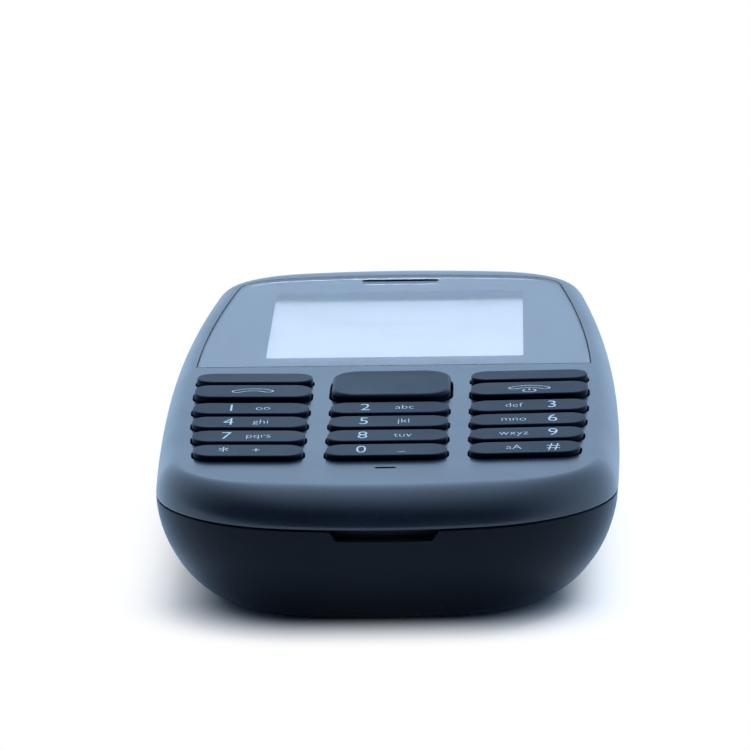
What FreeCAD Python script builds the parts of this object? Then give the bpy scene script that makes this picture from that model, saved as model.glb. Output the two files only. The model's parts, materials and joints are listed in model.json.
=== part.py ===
import FreeCAD
import Part
import math
import os
from FreeCAD import Vector

# A bar phone lying on its back: X across, +Y towards the top end, +Z up out of the face.
# The origin is under the middle of the underside. All sizes are in millimetres.

# Whole body at the seam, where it is widest
body_length = 119.0
body_width = 49.02
body_thickness = 14.4
seam_height = 10.6
seam_gap = 0.14
body_widest_y = -10.7
body_upper_radius = 573.0
body_lower_radius = 844.0
body_end_radius = 52.0
body_top_corner = 15.9
body_bottom_corner = 17.0

# Flat of the face, inside its rounded shoulder
face_side_inset = 2.5
face_widest_y = -4.5
face_upper_radius = 375.0
face_lower_radius = 1333.0
face_top_setback = 9.74
face_bottom_setback = 4.6
face_top_radius = 75.0
face_bottom_radius = 62.0
face_top_corner = 6.5
face_bottom_corner = 10.0

# Flat of the underside, inside its boat-shaped flanks
base_side_inset = 8.2
base_widest_y = -4.5
base_upper_radius = 800.0
base_lower_radius = 1400.0
base_top_setback = 11.0
base_bottom_setback = 6.5
base_top_radius = 52.0
base_bottom_radius = 60.0
base_top_corner = 6.0
base_bottom_corner = 10.3
hull_power = 1.77

# Walls, and the angles at which the covers' cross-sections are drawn
back_wall = 1.2
front_wall = 1.3
hull_steps = (0, 20, 42, 66, 90)
hull_inner_steps = (0, 25, 45, 65, 90)
shoulder_steps = (0, 30, 60, 90)
shoulder_inner_steps = (0, 45, 90)
corner_chord_count = 5
side_chord_count = 2

# Running and seating clearances
fit_gap = 0.1
part_gap = 0.3
key_gap = 0.15
slip_gap = 0.05

# Battery and its bay
battery_side_inset = 7.51
battery_top_setback = 50.5
battery_thickness = 5.5
battery_floor_gap = 0.8
battery_setback = 15.5
battery_edge = 1.4
battery_cap_length = 2.8
battery_gap = 0.4
bay_wall = 1.0
bay_lip = 1.6
bay_corner = 0.8
terminal_count = 3
terminal_pitch = 3.0
terminal_width = 1.6
terminal_height = 2.4
terminal_depth = 0.3
terminal_middle_x = 8.0

# Middle frame
frame_inset = 2.35
frame_rim = 0.9
frame_rim_rise = 0.55
frame_plate = 0.6
plate_gap = 0.2

# Circuit board
board_thickness = 0.8
board_inset = 3.6
board_top_drop = 4.3
shield_height = 0.9
shield_sheet = 0.2
shield_corner = 1.0
shield_size = (31.0, 27.0)
shield_battery_offset = 0.5
chip_sizes = ((10.0, 10.0, 0.6, -7.5, 5.0), (8.0, 9.0, 0.6, 7.0, 5.0), (5.0, 5.0, 0.5, 0.0, -8.0))

# Display window and the display below it
window_thickness = 1.0
window_margin = 0.3
window_key_gap = 6.5
window_corner = 1.5
window_chamfer = 0.15
tape_thickness = 0.15
tape_width = 1.2
ledge_thickness = 0.6
view_side_inset = 10.11
view_window_gap = 5.1
view_ear_gap = 5.3
view_corner = 0.8
panel_side_border = 2.1
panel_low_border = 4.3
panel_high_border = 2.3
panel_thickness = 1.0
tray_wall = 0.4
tray_floor = 0.9
tray_foot = 1.5
flex_width = 12.0
flex_thickness = 0.16
flex_reach = 2.0
flex_plug_width = 10.0
flex_plug_length = 1.6
flex_plug_height = 0.8

# Earpiece in the top of the window
ear_slot = (9.0, 1.1)
ear_setback = 12.9
ear_size = (12.0, 5.6, 2.2)
ear_offset_y = 1.3
ear_corner = 2.2
ear_foot_size = (1.0, 2.8)
ear_foot_x = 3.0
ear_hole_depth = 0.55
mesh_border = 0.5

# Microphone under the face's near end
mic_setback = 11.8
mic_slot = (2.2, 0.6)
mic_size = (3.0, 2.4, 1.2)
boot_hole = 1.4

# Keypad: columns, rows and caps
column_inner_x = 8.46
column_margin = 0.6
column_outer_radius = 480.0
column_widest_y = -8.0
centre_half_width = 6.45
smile_radius = 300.0
star_row_setback = 17.55
row_pitch = 6.5
call_row_step = 7.65
digit_depth = 5.5
call_depth = 6.2
soft_depth = 4.8
key_corner = 1.3
key_chord_count = 3
digit_rise = 0.55
call_rise = 0.7
key_chamfer = 0.3
key_flange = 0.2
key_flange_thickness = 0.7
key_travel = 0.3

# Scroll key
scroll_depth = 12.35
scroll_half_width = 6.4
scroll_corner = 3.0
scroll_chord_count = 6
scroll_rise = 0.9
scroll_edge = 0.5
scroll_edge_steps = (30, 60, 90)
scroll_gap = 0.22
scroll_flange_thickness = 0.45
scroll_tilt = 2.5
scroll_pad_thickness = 0.4
scroll_pad_inset = 0.5
scroll_rib_width = 1.2
scroll_nib_reach = 4.6
scroll_nib_width = 1.6
plunger_radius = 1.6

# Silicone mat and metal domes
mat_thickness = 0.7
mat_side_inset = 3.21
mat_border = 0.9
mat_corner = 1.2
mat_skirt = 0.8
mat_skirt_side_inset = 1.5
mat_skirt_end_inset = 0.6
mat_skirt_corner = 3.0
mat_pocket_gap = 0.6
nib_width = 1.8
dome_film = 0.15
dome_radius = 1.9
dome_rise = 0.3
dome_side_count = 8
led_size = (1.6, 0.8, 0.5)
led_x = 7.45
led_gap = 0.2
led_row_counts = (0.5, 2.5)

# Screws and their bosses: how far each pair stands in from the widest side and from its end
boss_width = 2.6
boss_bite = 0.65
screw_radius = 0.65
screw_head_radius = 1.25
screw_head_height = 0.8
screw_bite = 1.9
screw_end_gap = 0.2
screw_side_count = 12
top_screw_inset = 8.9
top_screw_setback = 11.9
middle_screw_inset = 4.8
middle_screw_window_gap = 2.6
bottom_screw_inset = 9.6
bottom_screw_setback = 9.5

# Top end: audio jack and charging socket
jack_side_inset = 13.51
jack_drop = 2.2
jack_bore = 1.8
jack_back_wall = 1.0
jack_size = (6.2, 13.5, 4.6)
jack_setback = 7.8
jack_nose_radius = 2.3
jack_port_radius = 2.4
usb_side_inset = 14.31
usb_size = (7.6, 5.4, 2.6)
usb_sheet = 0.3
usb_tongue_size = (3.8, 0.6)
usb_tongue_setback = 1.0
usb_port = (9.0, 3.6)
port_reach = 12.0
port_nose_setback = 5.6

# Back of the handset: loudspeaker, motor, card socket, contacts and antenna
speaker_length = 9.0
speaker_height = 3.5
speaker_jack_gap = 1.4
speaker_motor_gap = 2.8
speaker_setback = 18.0
speaker_corner = 1.5
speaker_rim = 1.5
speaker_cone_depth = 0.5
speaker_seal = 0.9
speaker_slot_count = 4
speaker_slot_inset = 2.5
speaker_slot_width = 0.9
speaker_slot_pitch = 1.9
chamber_wall = 0.8
speaker_cloth = 0.15
motor_radius = 4.0
motor_thickness = 2.7
motor_side_inset = 11.21
card_size = (25.0, 15.0, 0.8)
card_x = -2.75
card_battery_gap = 7.5
card_wall = 0.8
card_floor = 0.4
card_window = (15.0, 9.0)
card_window_shift = 1.9
card_clearance = 0.1
contact_size = (10.5, 4.0)
contact_bottom_z = 4.0
contact_blade = 0.25
antenna_length = 5.4
antenna_screw_gap = 1.91
antenna_setback = 9.9
antenna_sheet = 0.3
antenna_slot = 0.8
antenna_slot_count = 5
antenna_block_height = 2.6

# Cover details
notch_top_width = 11.4
notch_bottom_width = 9.0
notch_height = 1.15
hook_length = 6.0
hook_height = 0.8
hook_reach = 0.7
hook_places = (-34.0, -2.0, 30.0)
press_rib_length = 30.0
press_rib_width = 0.8
press_rib_x = 8.0

# Heights worked out from the sizes above
face_z = body_thickness
ceiling_z = face_z - front_wall
board_top_z = face_z - board_top_drop
board_bottom_z = board_top_z - board_thickness
battery_bottom_z = back_wall + battery_floor_gap
battery_top_z = battery_bottom_z + battery_thickness
plate_bottom_z = battery_top_z + plate_gap
plate_top_z = plate_bottom_z + frame_plate
flange_top_z = ceiling_z - fit_gap
flange_bottom_z = flange_top_z - key_flange_thickness
mat_top_z = flange_bottom_z
mat_bottom_z = mat_top_z - mat_thickness
dome_top_z = board_top_z + dome_film + dome_rise
window_bottom_z = face_z - window_thickness
recess_z = window_bottom_z - tape_thickness
ledge_bottom_z = recess_z - ledge_thickness
screw_end_z = board_top_z + screw_bite
jack_z = board_top_z - jack_drop

# Places worked out from the sizes above
half_length = body_length / 2
half_width = body_width / 2
column_outer_x = half_width - face_side_inset - column_margin
star_row_y = star_row_setback - half_length
call_row_y = star_row_y + 3 * row_pitch + call_row_step
soft_row_y = call_row_y + row_pitch
scroll_middle_y = (call_row_y - call_depth / 2 + soft_row_y + soft_depth / 2) / 2
window_bottom_y = soft_row_y + soft_depth / 2 + window_key_gap
ear_middle_y = half_length - ear_setback
view_low_y = window_bottom_y + view_window_gap
view_high_y = ear_middle_y - view_ear_gap
view_width = body_width - 2 * view_side_inset
view_length = view_high_y - view_low_y
view_middle_y = (view_low_y + view_high_y) / 2
panel_size = (view_width + 2 * panel_side_border, view_length + panel_low_border + panel_high_border)
panel_middle_y = view_low_y - panel_low_border + panel_size[1] / 2
mat_half_width = half_width - mat_side_inset
mic_middle_y = mic_setback - half_length
battery_low_y = battery_setback - half_length
battery_high_y = half_length - battery_top_setback
battery_width = body_width - 2 * battery_side_inset
battery_length = battery_high_y - battery_low_y
battery_middle_y = (battery_low_y + battery_high_y) / 2
shield_middle_y = battery_middle_y + shield_battery_offset
card_middle = (card_x, battery_high_y + card_battery_gap + card_wall + card_size[1] / 2)
jack_x = jack_side_inset - half_width
usb_x = half_width - usb_side_inset
motor_middle = (half_width - motor_side_inset, half_length - speaker_setback)
speaker_low_x = jack_x + jack_size[0] / 2 + speaker_jack_gap
speaker_high_x = motor_middle[0] - motor_radius - speaker_motor_gap
speaker_size = (speaker_high_x - speaker_low_x, speaker_length, speaker_height)
speaker_slot_length = speaker_size[0] - 2 * speaker_slot_inset
speaker_middle = ((speaker_low_x + speaker_high_x) / 2, motor_middle[1])
antenna_middle_y = antenna_setback - half_length
jack_block_y = half_length - jack_setback
port_nose_y = half_length - port_nose_setback
screw_places = (
    (half_width - top_screw_inset, half_length - top_screw_setback),
    (half_width - middle_screw_inset, window_bottom_y - middle_screw_window_gap),
    (half_width - bottom_screw_inset, bottom_screw_setback - half_length),
)
antenna_size = (2 * (screw_places[-1][0] - antenna_screw_gap), antenna_length)
over = 1.0


def box(x0, x1, y0, y1, z0, z1):
    """A block given by its lowest and highest corners."""
    return Part.makeBox(x1 - x0, y1 - y0, z1 - z0, Vector(x0, y0, z0))


def centred_box(x, y, width, length, z0, z1):
    """A block centred on a point of the plan."""
    return box(x - width / 2, x + width / 2, y - length / 2, y + length / 2, z0, z1)


def post(x, y, radius, z0, z1):
    """An upright round post."""
    return Part.makeCylinder(radius, z1 - z0, Vector(x, y, z0))


def ring(points, z):
    """A closed polygon at one height."""
    lifted = [Vector(point.x, point.y, z) for point in points]
    return Part.makePolygon(lifted + lifted[:1])


def many_sided(x, y, radius, count, z0, z1):
    """An upright prism with a number of equal sides."""
    points = []
    for side in range(count):
        turn = 2 * math.pi * side / count
        points.append(Vector(x + radius * math.cos(turn), y + radius * math.sin(turn), 0))
    return Part.Face(ring(points, z0)).extrude(Vector(0, 0, z1 - z0))


def peg(x, y, radius, z0, z1):
    """An upright many-sided peg, for screws, their holes and the motor's pocket."""
    return many_sided(x, y, radius, screw_side_count, z0, z1)


def along_y(x, z, radius, y0, y1):
    """A round bar that lies along the body."""
    return Part.makeCylinder(radius, y1 - y0, Vector(x, y0, z), Vector(0, 1, 0))


def upright_edges(solid):
    """The straight edges of a solid that stand along Z."""
    found = []
    for edge in solid.Edges:
        start = edge.Vertexes[0].Point
        end = edge.Vertexes[-1].Point
        if abs(start.x - end.x) < 1e-6 and abs(start.y - end.y) < 1e-6:
            found.append(edge)
    return found


def edges_at(solid, z):
    """The edges of a solid that lie in one level."""
    flat = [edge for edge in solid.Edges if edge.BoundBox.ZLength < 1e-6]
    return [edge for edge in flat if abs(edge.BoundBox.ZMin - z) < 1e-6]


def rounded_box(x, y, width, length, corner, z0, z1):
    """A block centred on a point of the plan, with its upright edges rounded."""
    block = centred_box(x, y, width, length, z0, z1)
    radius = min(corner, 0.49 * width, 0.49 * length)
    return block.makeFillet(radius, upright_edges(block))


def slot(x, y, size, z0, z1):
    """A round-ended slot of one width and length, as an upright solid."""
    width, length = size
    return rounded_box(x, y, width, length, length / 2, z0, z1)


def frame_ring(x, y, width, length, corner, wall, z0, z1):
    """An upright wall of one thickness around a rounded rectangle, which is its inside."""
    outer = rounded_box(x, y, width + 2 * wall, length + 2 * wall, corner + wall, z0, z1)
    inner = rounded_box(x, y, width, length, corner, z0 - over, z1 + over)
    return outer.cut(inner)


def fused(first, others):
    """One solid made of several that touch or cross."""
    return first.multiFuse(others).removeSplitter()


class Outline:
    """A plan outline of two bowed sides, two bowed ends and four corner arcs, all tangent.

    Each end is a tuple: how far it reaches, its own curvature, its corner radius and the curvature of
    the sides that lead to it. Both halves of a side are tangent where the outline is widest.
    """

    def __init__(self, half, widest_y, top, bottom):
        self.half = half
        self.widest_y = widest_y
        self.top = top
        self.bottom = bottom

    def side_x(self, y):
        """Half width of the outline at one place along its sides."""
        end = self.top if y > self.widest_y else self.bottom
        radius = 1 / end[3]
        return self.half - radius + math.sqrt(radius**2 - (y - self.widest_y) ** 2)

    def corner(self, end, sign):
        """Centres of the right-hand side's arc, the corner arc and the end's arc at one end."""
        reach, end_curve, corner_radius, side_curve = end
        side_centre = Vector(self.half - 1 / side_curve, self.widest_y, 0)
        end_centre = Vector(0, sign * (reach - 1 / end_curve), 0)
        side_arm = 1 / side_curve - corner_radius
        end_arm = 1 / end_curve - corner_radius
        line = end_centre - side_centre
        span = line.Length
        along = (side_arm**2 - end_arm**2 + span**2) / (2 * span)
        across = math.sqrt(side_arm**2 - along**2)
        unit = line / span
        foot = side_centre + unit * along
        normal = Vector(-unit.y, unit.x, 0)
        choices = (foot + normal * across, foot - normal * across)
        return side_centre, max(choices, key=lambda point: sign * point.y), end_centre

    def quarter(self, end, sign, inset):
        """The points of one right-hand quarter, from the widest place to the middle of an end."""
        reach, end_curve, corner_radius, side_curve = end
        side_centre, centre, end_centre = self.corner(end, sign)
        side_way = (centre - side_centre).normalize()
        end_way = (centre - end_centre).normalize()
        side_radius = 1 / side_curve - inset
        start = side_centre + Vector(side_radius, 0, 0)
        side_middle = side_centre + (Vector(1, 0, 0) + side_way).normalize() * side_radius
        side_point = side_centre + side_way * side_radius
        corner_middle = centre + (side_way + end_way).normalize() * (corner_radius - inset)
        end_point = end_centre + end_way * (1 / end_curve - inset)
        end_middle = Vector(0, sign * (reach - inset), 0)
        return start, side_middle, side_point, corner_middle, end_point, end_middle

    def wire(self, inset, z):
        """The outline drawn in by one distance all round, at one height."""
        high = self.quarter(self.top, 1, inset)
        low = self.quarter(self.bottom, -1, inset)
        high_left = [Vector(-point.x, point.y, 0) for point in high]
        low_left = [Vector(-point.x, point.y, 0) for point in low]
        runs = [
            high[0:3],
            high[2:5],
            (high[4], high[5], high_left[4]),
            high_left[4:1:-1],
            high_left[2::-1],
            low_left[0:3],
            low_left[2:5],
            (low_left[4], low[5], low[4]),
            low[4:1:-1],
            low[2::-1],
        ]
        lift = Vector(0, 0, z)
        return Part.Wire([Part.Arc(a + lift, b + lift, c + lift).toShape() for a, b, c in runs])

    def plain_wire(self, inset, z):
        """The same outline in straight chords, for inner walls that nothing shows."""
        points = []
        for edge in self.wire(inset, z).Edges:
            curved = edge.Curve.Radius < body_end_radius / 2
            chords = corner_chord_count if curved else side_chord_count
            points += edge.discretize(Number=chords + 1)[:-1]
        return ring(points, z)

    def slab(self, inset, z0, z1):
        """The outline, drawn in, as an upright slab between two heights."""
        return Part.Face(self.wire(inset, z0)).extrude(Vector(0, 0, z1 - z0))

    def plain_slab(self, inset, z0, z1):
        """The same slab with chords for its arcs, for pieces inside the covers."""
        return Part.Face(self.plain_wire(inset, z0)).extrude(Vector(0, 0, z1 - z0))


def mixed(first, second, share):
    """An outline part of the way from one outline to another."""

    def between(a, b):
        return a + (b - a) * share

    top = tuple(between(a, b) for a, b in zip(first.top, second.top))
    bottom = tuple(between(a, b) for a, b in zip(first.bottom, second.bottom))
    return Outline(between(first.half, second.half), between(first.widest_y, second.widest_y), top, bottom)


body_outline = Outline(
    half_width,
    body_widest_y,
    (half_length, 1 / body_end_radius, body_top_corner, 1 / body_upper_radius),
    (half_length, 1 / body_end_radius, body_bottom_corner, 1 / body_lower_radius),
)
face_outline = Outline(
    half_width - face_side_inset,
    face_widest_y,
    (half_length - face_top_setback, 1 / face_top_radius, face_top_corner, 1 / face_upper_radius),
    (half_length - face_bottom_setback, 1 / face_bottom_radius, face_bottom_corner, 1 / face_lower_radius),
)
base_outline = Outline(
    half_width - base_side_inset,
    base_widest_y,
    (half_length - base_top_setback, 1 / base_top_radius, base_top_corner, 1 / base_upper_radius),
    (half_length - base_bottom_setback, 1 / base_bottom_radius, base_bottom_corner, 1 / base_lower_radius),
)


def hull_outline(z, wall):
    """The boat shape's outline at one height, for a floor of one thickness, before it is drawn in."""
    depth = min(max((seam_height - z) / (seam_height - wall), 0.0), 1.0)
    return mixed(body_outline, base_outline, 1 - (1 - depth**hull_power) ** (1 / hull_power))


def hull_levels(wall, steps):
    """Heights and outlines of the boat-shaped lower half, raised by a wall's thickness."""
    levels = []
    for degrees in steps:
        z = seam_height - (seam_height - wall) * math.sin(math.radians(degrees)) ** (2 / hull_power)
        levels.append((z, hull_outline(z, wall)))
    return levels


def shoulder_levels(wall, steps):
    """Heights and outlines of the rounded upper half, lowered by a wall's thickness."""
    levels = []
    for degrees in steps:
        turn = math.radians(degrees)
        outline = mixed(body_outline, face_outline, 1 - math.cos(turn))
        levels.append((seam_height + (face_z - wall - seam_height) * math.sin(turn), outline))
    return levels


def outer_body(levels):
    """The solid that the covers' outer skin encloses."""
    return Part.makeLoft([outline.wire(0.0, z) for z, outline in levels], True, True)


def inner_body(levels, wall):
    """The space that the covers' walls enclose."""
    return Part.makeLoft([outline.plain_wire(wall, z) for z, outline in levels], True, True)


def level_slice(solid, z0, z1):
    """The part of a solid that lies between two heights."""
    return solid.common(centred_box(0, 0, 2 * body_width, 2 * body_length, z0, z1))


# Keys: name, column (-1 left, 0 centre, 1 right), row middle, row depth and height above the face
digit_names = (("key_star", "key_0", "key_hash"), ("key_7", "key_8", "key_9"))
digit_names += (("key_4", "key_5", "key_6"), ("key_1", "key_2", "key_3"))
keys = [
    ("left_soft_key", -1, soft_row_y, soft_depth, call_rise),
    ("right_soft_key", 1, soft_row_y, soft_depth, call_rise),
    ("call_key", -1, call_row_y, call_depth, call_rise),
    ("end_key", 1, call_row_y, call_depth, call_rise),
]
for row, names in enumerate(digit_names):
    for column, name in zip((-1, 0, 1), names):
        keys.append((name, column, star_row_y + row * row_pitch, digit_depth, digit_rise))


def smile(x):
    """How far a row of keys rises towards the top end at one place across it."""
    return smile_radius - math.sqrt(smile_radius**2 - x**2)


def column_edge(y):
    """The keypad's outer edge at one place along the body."""
    return column_outer_x - (y - column_widest_y) ** 2 / (2 * column_outer_radius)


def key_centre(key):
    """Middle of a key in the plan."""
    name, column, y, depth, rise = key
    x = column * (column_inner_x + column_edge(y)) / 2
    return x, y + smile(x)


def eased(points, radius, chords):
    """A closed polygon whose corners are eased by a few short chords along an arc."""
    rounded = []
    for index, point in enumerate(points):
        before = (points[index - 1] - point).normalize()
        after = (points[(index + 1) % len(points)] - point).normalize()
        half_angle = before.getAngle(after) / 2
        centre = point + (before + after).normalize() * (radius / math.sin(half_angle))
        start = point + before * (radius / math.tan(half_angle)) - centre
        end = point + after * (radius / math.tan(half_angle)) - centre
        turn = math.pi - 2 * half_angle
        for step in range(chords + 1):
            share = step / chords
            arm = start * math.sin((1 - share) * turn) + end * math.sin(share * turn)
            rounded.append(centre + arm / math.sin(turn))
    return rounded


def key_corners(key, grow):
    """The four corners of one key's hole, grown all round by a distance."""
    name, column, y, depth, rise = key
    low_y = y - depth / 2 - grow
    high_y = y + depth / 2 + grow
    if column == 0:
        low_x = high_x = (-centre_half_width - grow, centre_half_width + grow)
    elif column > 0:
        low_x = (column_inner_x - grow, column_edge(low_y) + grow)
        high_x = (column_inner_x - grow, column_edge(high_y) + grow)
    else:
        low_x = (-column_edge(low_y) - grow, grow - column_inner_x)
        high_x = (-column_edge(high_y) - grow, grow - column_inner_x)
    corners = [(low_x[0], low_y), (low_x[1], low_y), (high_x[1], high_y), (high_x[0], high_y)]
    return [Vector(x, level + smile(x), 0) for x, level in corners]


def key_ring(key, grow, z):
    """The eased outline of one key's hole, grown all round by a distance, at one height."""
    return ring(eased(key_corners(key, grow), key_corner + grow, key_chord_count), z)


def key_prism(key, grow, z0, z1):
    """The hole of one key, grown all round by a distance, as an upright solid."""
    return Part.Face(key_ring(key, grow, z0)).extrude(Vector(0, 0, z1 - z0))


def scroll_ring(grow, z):
    """The eased outline of the scroll key, grown all round by a distance, at one height."""
    x = scroll_half_width + grow
    y = scroll_depth / 2 + grow
    corners = [Vector(-x, -y, 0), Vector(x, -y, 0), Vector(x, y, 0), Vector(-x, y, 0)]
    points = eased(corners, scroll_corner + grow, scroll_chord_count)
    return ring([point + Vector(0, scroll_middle_y, 0) for point in points], z)


def scroll_prism(grow, z0, z1):
    """The scroll key's outline, grown all round by a distance, as an upright solid."""
    return Part.Face(scroll_ring(grow, z0)).extrude(Vector(0, 0, z1 - z0))


def window_prism(inset, z0, z1):
    """The display window's outline, drawn in from the flat of the face."""
    low = window_bottom_y - window_margin + inset
    slab = face_outline.slab(inset, z0, z1)
    slab = slab.common(box(-body_width, body_width, low, body_length, z0 - over, z1 + over))
    bottom = [edge for edge in upright_edges(slab) if abs(edge.BoundBox.YMin - low) < 1e-6]
    return slab.makeFillet(window_corner, bottom)


def screw_positions():
    """Middles of the screws, in pairs either side of the middle."""
    return [(side * x, y) for x, y in screw_places for side in (-1, 1)]


def back_cover():
    """The wrap-round back cover with its ports, speaker slots, nail notch, ribs and hooks."""
    shell = level_slice(outer_body(hull_levels(0.0, hull_steps)), -over, seam_height - seam_gap / 2)
    shell = shell.cut(inner_body(hull_levels(back_wall, hull_inner_steps), back_wall))
    additions = []
    rib_top = battery_bottom_z - fit_gap
    hook_top = seam_height - hook_height
    for side in (-1, 1):
        rib_x = side * press_rib_x
        rib_low = back_wall - slip_gap
        rib = centred_box(rib_x, battery_middle_y, press_rib_width, press_rib_length, rib_low, rib_top)
        additions.append(rib)
        for y in hook_places:
            wall_x = hull_outline(hook_top, back_wall).side_x(y) - back_wall
            low, high = sorted((side * (wall_x - hook_reach), side * (wall_x + back_wall / 2)))
            bottom = hook_top - hook_height
            additions.append(box(low, high, y - hook_length / 2, y + hook_length / 2, bottom, hook_top))
    shell = fused(shell, additions)
    cuts = [
        along_y(jack_x, jack_z, jack_port_radius, half_length - port_reach, half_length + over),
        usb_port_slot(half_length - port_reach, half_length + over),
        nail_notch(),
    ]
    slot_size = (speaker_slot_length, speaker_slot_width)
    for index in range(speaker_slot_count):
        y = speaker_middle[1] + (index - (speaker_slot_count - 1) / 2) * speaker_slot_pitch
        cuts.append(slot(speaker_middle[0], y, slot_size, -over, back_wall + over))
    return shell.cut(cuts)


def usb_port_slot(y0, y1):
    """The round-ended hole of the charging socket through the back cover."""
    width, height = usb_port
    z = board_bottom_z - usb_size[2] / 2
    radius = height / 2
    slot = box(usb_x - width / 2 + radius, usb_x + width / 2 - radius, y0, y1, z - radius, z + radius)
    ends = [along_y(usb_x + side * (width / 2 - radius), z, radius, y0, y1) for side in (-1, 1)]
    return fused(slot, ends)


def nail_notch():
    """The notch in the near end's edge that a fingernail lifts the cover by."""
    top = seam_height
    low = top - notch_height
    corners = [
        Vector(-notch_top_width / 2, -half_length - over, top),
        Vector(-notch_bottom_width / 2, -half_length - over, low),
        Vector(notch_bottom_width / 2, -half_length - over, low),
        Vector(notch_top_width / 2, -half_length - over, top),
    ]
    face = Part.Face(Part.makePolygon(corners + corners[:1]))
    return face.extrude(Vector(0, over + 2 * back_wall, 0))


def speaker_mesh():
    """The cloth glued inside the back cover behind the speaker slots."""
    x, y = speaker_middle
    width = speaker_slot_length + 2 * mesh_border
    length = speaker_slot_count * speaker_slot_pitch + mesh_border
    return rounded_box(x, y, width, length, mesh_border, back_wall, back_wall + speaker_cloth)


def front_cover():
    """The front cover: shoulder shell, keypad pocket, window ledge, screw bosses and all its holes."""
    mat_low, mat_high = mat_limits()
    mat_middle = (mat_low + mat_high) / 2
    pocket_width = 2 * (mat_half_width + mat_pocket_gap)
    pocket_length = mat_high - mat_low + 2 * part_gap
    pocket_low = seam_height - over
    pocket = rounded_box(0, mat_middle, pocket_width, pocket_length, mat_corner, pocket_low, ceiling_z)
    outside = outer_body(shoulder_levels(0.0, shoulder_steps))
    shell = level_slice(outside, seam_height + seam_gap / 2, face_z)
    shell = shell.cut([inner_body(shoulder_levels(front_wall, shoulder_inner_steps), front_wall), pocket])
    ledge = window_prism(-2 * window_margin, ledge_bottom_z, ceiling_z + slip_gap)
    within = inner_body(shoulder_levels(boss_bite, shoulder_inner_steps), boss_bite)
    bosses = []
    for x, y in screw_positions():
        boss = centred_box(x, y, boss_width, boss_width, board_top_z, ceiling_z + slip_gap)
        bosses.append(boss.common(within))
    shell = fused(shell, [ledge] + bosses)
    cuts = [
        window_prism(window_margin - fit_gap, recess_z, face_z + over),
        view_opening(0.0, ledge_bottom_z - over, face_z),
        slot(0, ear_middle_y, ear_slot, ledge_bottom_z - over, face_z),
        slot(0, mic_middle_y, mic_slot, ceiling_z - over, face_z + over),
        scroll_prism(scroll_gap, ceiling_z - over, face_z + over),
    ]
    cuts += [key_prism(key, 0.0, ceiling_z - over, face_z + over) for key in keys]
    pilot_top = screw_end_z + screw_end_gap
    for x, y in screw_positions():
        cuts.append(peg(x, y, screw_radius + slip_gap, board_top_z - over, pilot_top))
    return shell.cut(cuts)


def view_opening(grow, z0, z1):
    """The opening over the lit part of the display, made wider and longer by a distance."""
    return rounded_box(0, view_middle_y, view_width + grow, view_length + grow, view_corner, z0, z1)


def display_window():
    """The clear window that fills the face above the keys, with the earpiece slot."""
    window = window_prism(window_margin, window_bottom_z, face_z)
    window = window.makeChamfer(window_chamfer, edges_at(window, face_z))
    return window.cut(slot(0, ear_middle_y, ear_slot, window_bottom_z - over, face_z + over))


def window_tape():
    """The adhesive ring under the window, with a hole for the view and one for the earpiece cloth."""
    ring = window_prism(2 * window_margin, recess_z, window_bottom_z)
    view = view_opening(tape_width, recess_z - over, face_z)
    width, length = ear_mesh_size()
    ear = centred_box(0, ear_middle_y, width + 2 * fit_gap, length + 2 * fit_gap, recess_z - over, face_z)
    return ring.cut([view, ear])


def ear_mesh_size():
    """Width and length of the cloth behind the earpiece slot."""
    return ear_slot[0] + 2 * mesh_border, ear_slot[1] + 2 * mesh_border


def earpiece_mesh():
    """The dust cloth behind the earpiece slot, on the window's ledge."""
    width, length = ear_mesh_size()
    return centred_box(0, ear_middle_y, width, length, recess_z, window_bottom_z)


def earpiece_receiver():
    """The earpiece's flat oval receiver on the board, with its sound hole."""
    width, length, height = ear_size
    y = ear_middle_y + ear_offset_y
    low = ledge_bottom_z - height
    can = rounded_box(0, y, width, length, ear_corner, low, ledge_bottom_z)
    hole = slot(0, ear_middle_y, ear_slot, ledge_bottom_z - ear_hole_depth, face_z)
    foot_width, foot_length = ear_foot_size
    feet = []
    for side in (-1, 1):
        feet.append(centred_box(side * ear_foot_x, y, foot_width, foot_length, board_top_z, low))
    return fused(can.cut(hole), feet)


def display_panel():
    """The glass display panel in its tray."""
    top = tray_top_z()
    return centred_box(0, panel_middle_y, panel_size[0], panel_size[1], top - panel_thickness, top)


def tray_top_z():
    """Top of the display's tray, under the gasket."""
    return board_top_z + fit_gap + tray_floor + panel_thickness


def display_tray():
    """The white tray that holds the panel and lights it from behind."""
    low = board_top_z + fit_gap
    width = panel_size[0] + 2 * (slip_gap + tray_wall)
    length = panel_size[1] + 2 * (slip_gap + tray_wall)
    tray = centred_box(0, panel_middle_y, width, length, low, tray_top_z())
    pocket_width = panel_size[0] + 2 * slip_gap
    pocket_length = panel_size[1] + 2 * slip_gap
    pocket = centred_box(0, panel_middle_y, pocket_width, pocket_length, low + tray_floor, face_z)
    panel_low_y = panel_middle_y - panel_size[1] / 2
    exit_half = flex_width / 2 + fit_gap
    exit_slot = box(-exit_half, exit_half, panel_low_y - over, panel_low_y + over, low + tray_floor, face_z)
    feet = []
    for side_x in (-1, 1):
        for side_y in (-1, 1):
            x = side_x * (width / 2 - tray_foot)
            y = panel_middle_y + side_y * (length / 2 - tray_foot)
            feet.append(centred_box(x, y, tray_foot, tray_foot, board_top_z, low))
    return fused(tray.cut([pocket, exit_slot]), feet)


def display_gasket():
    """The foam ring between the panel and the window's ledge."""
    width, length = panel_size
    ring = centred_box(0, panel_middle_y, width, length, tray_top_z(), ledge_bottom_z)
    return ring.cut(view_opening(tape_width, board_top_z, face_z))


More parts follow.
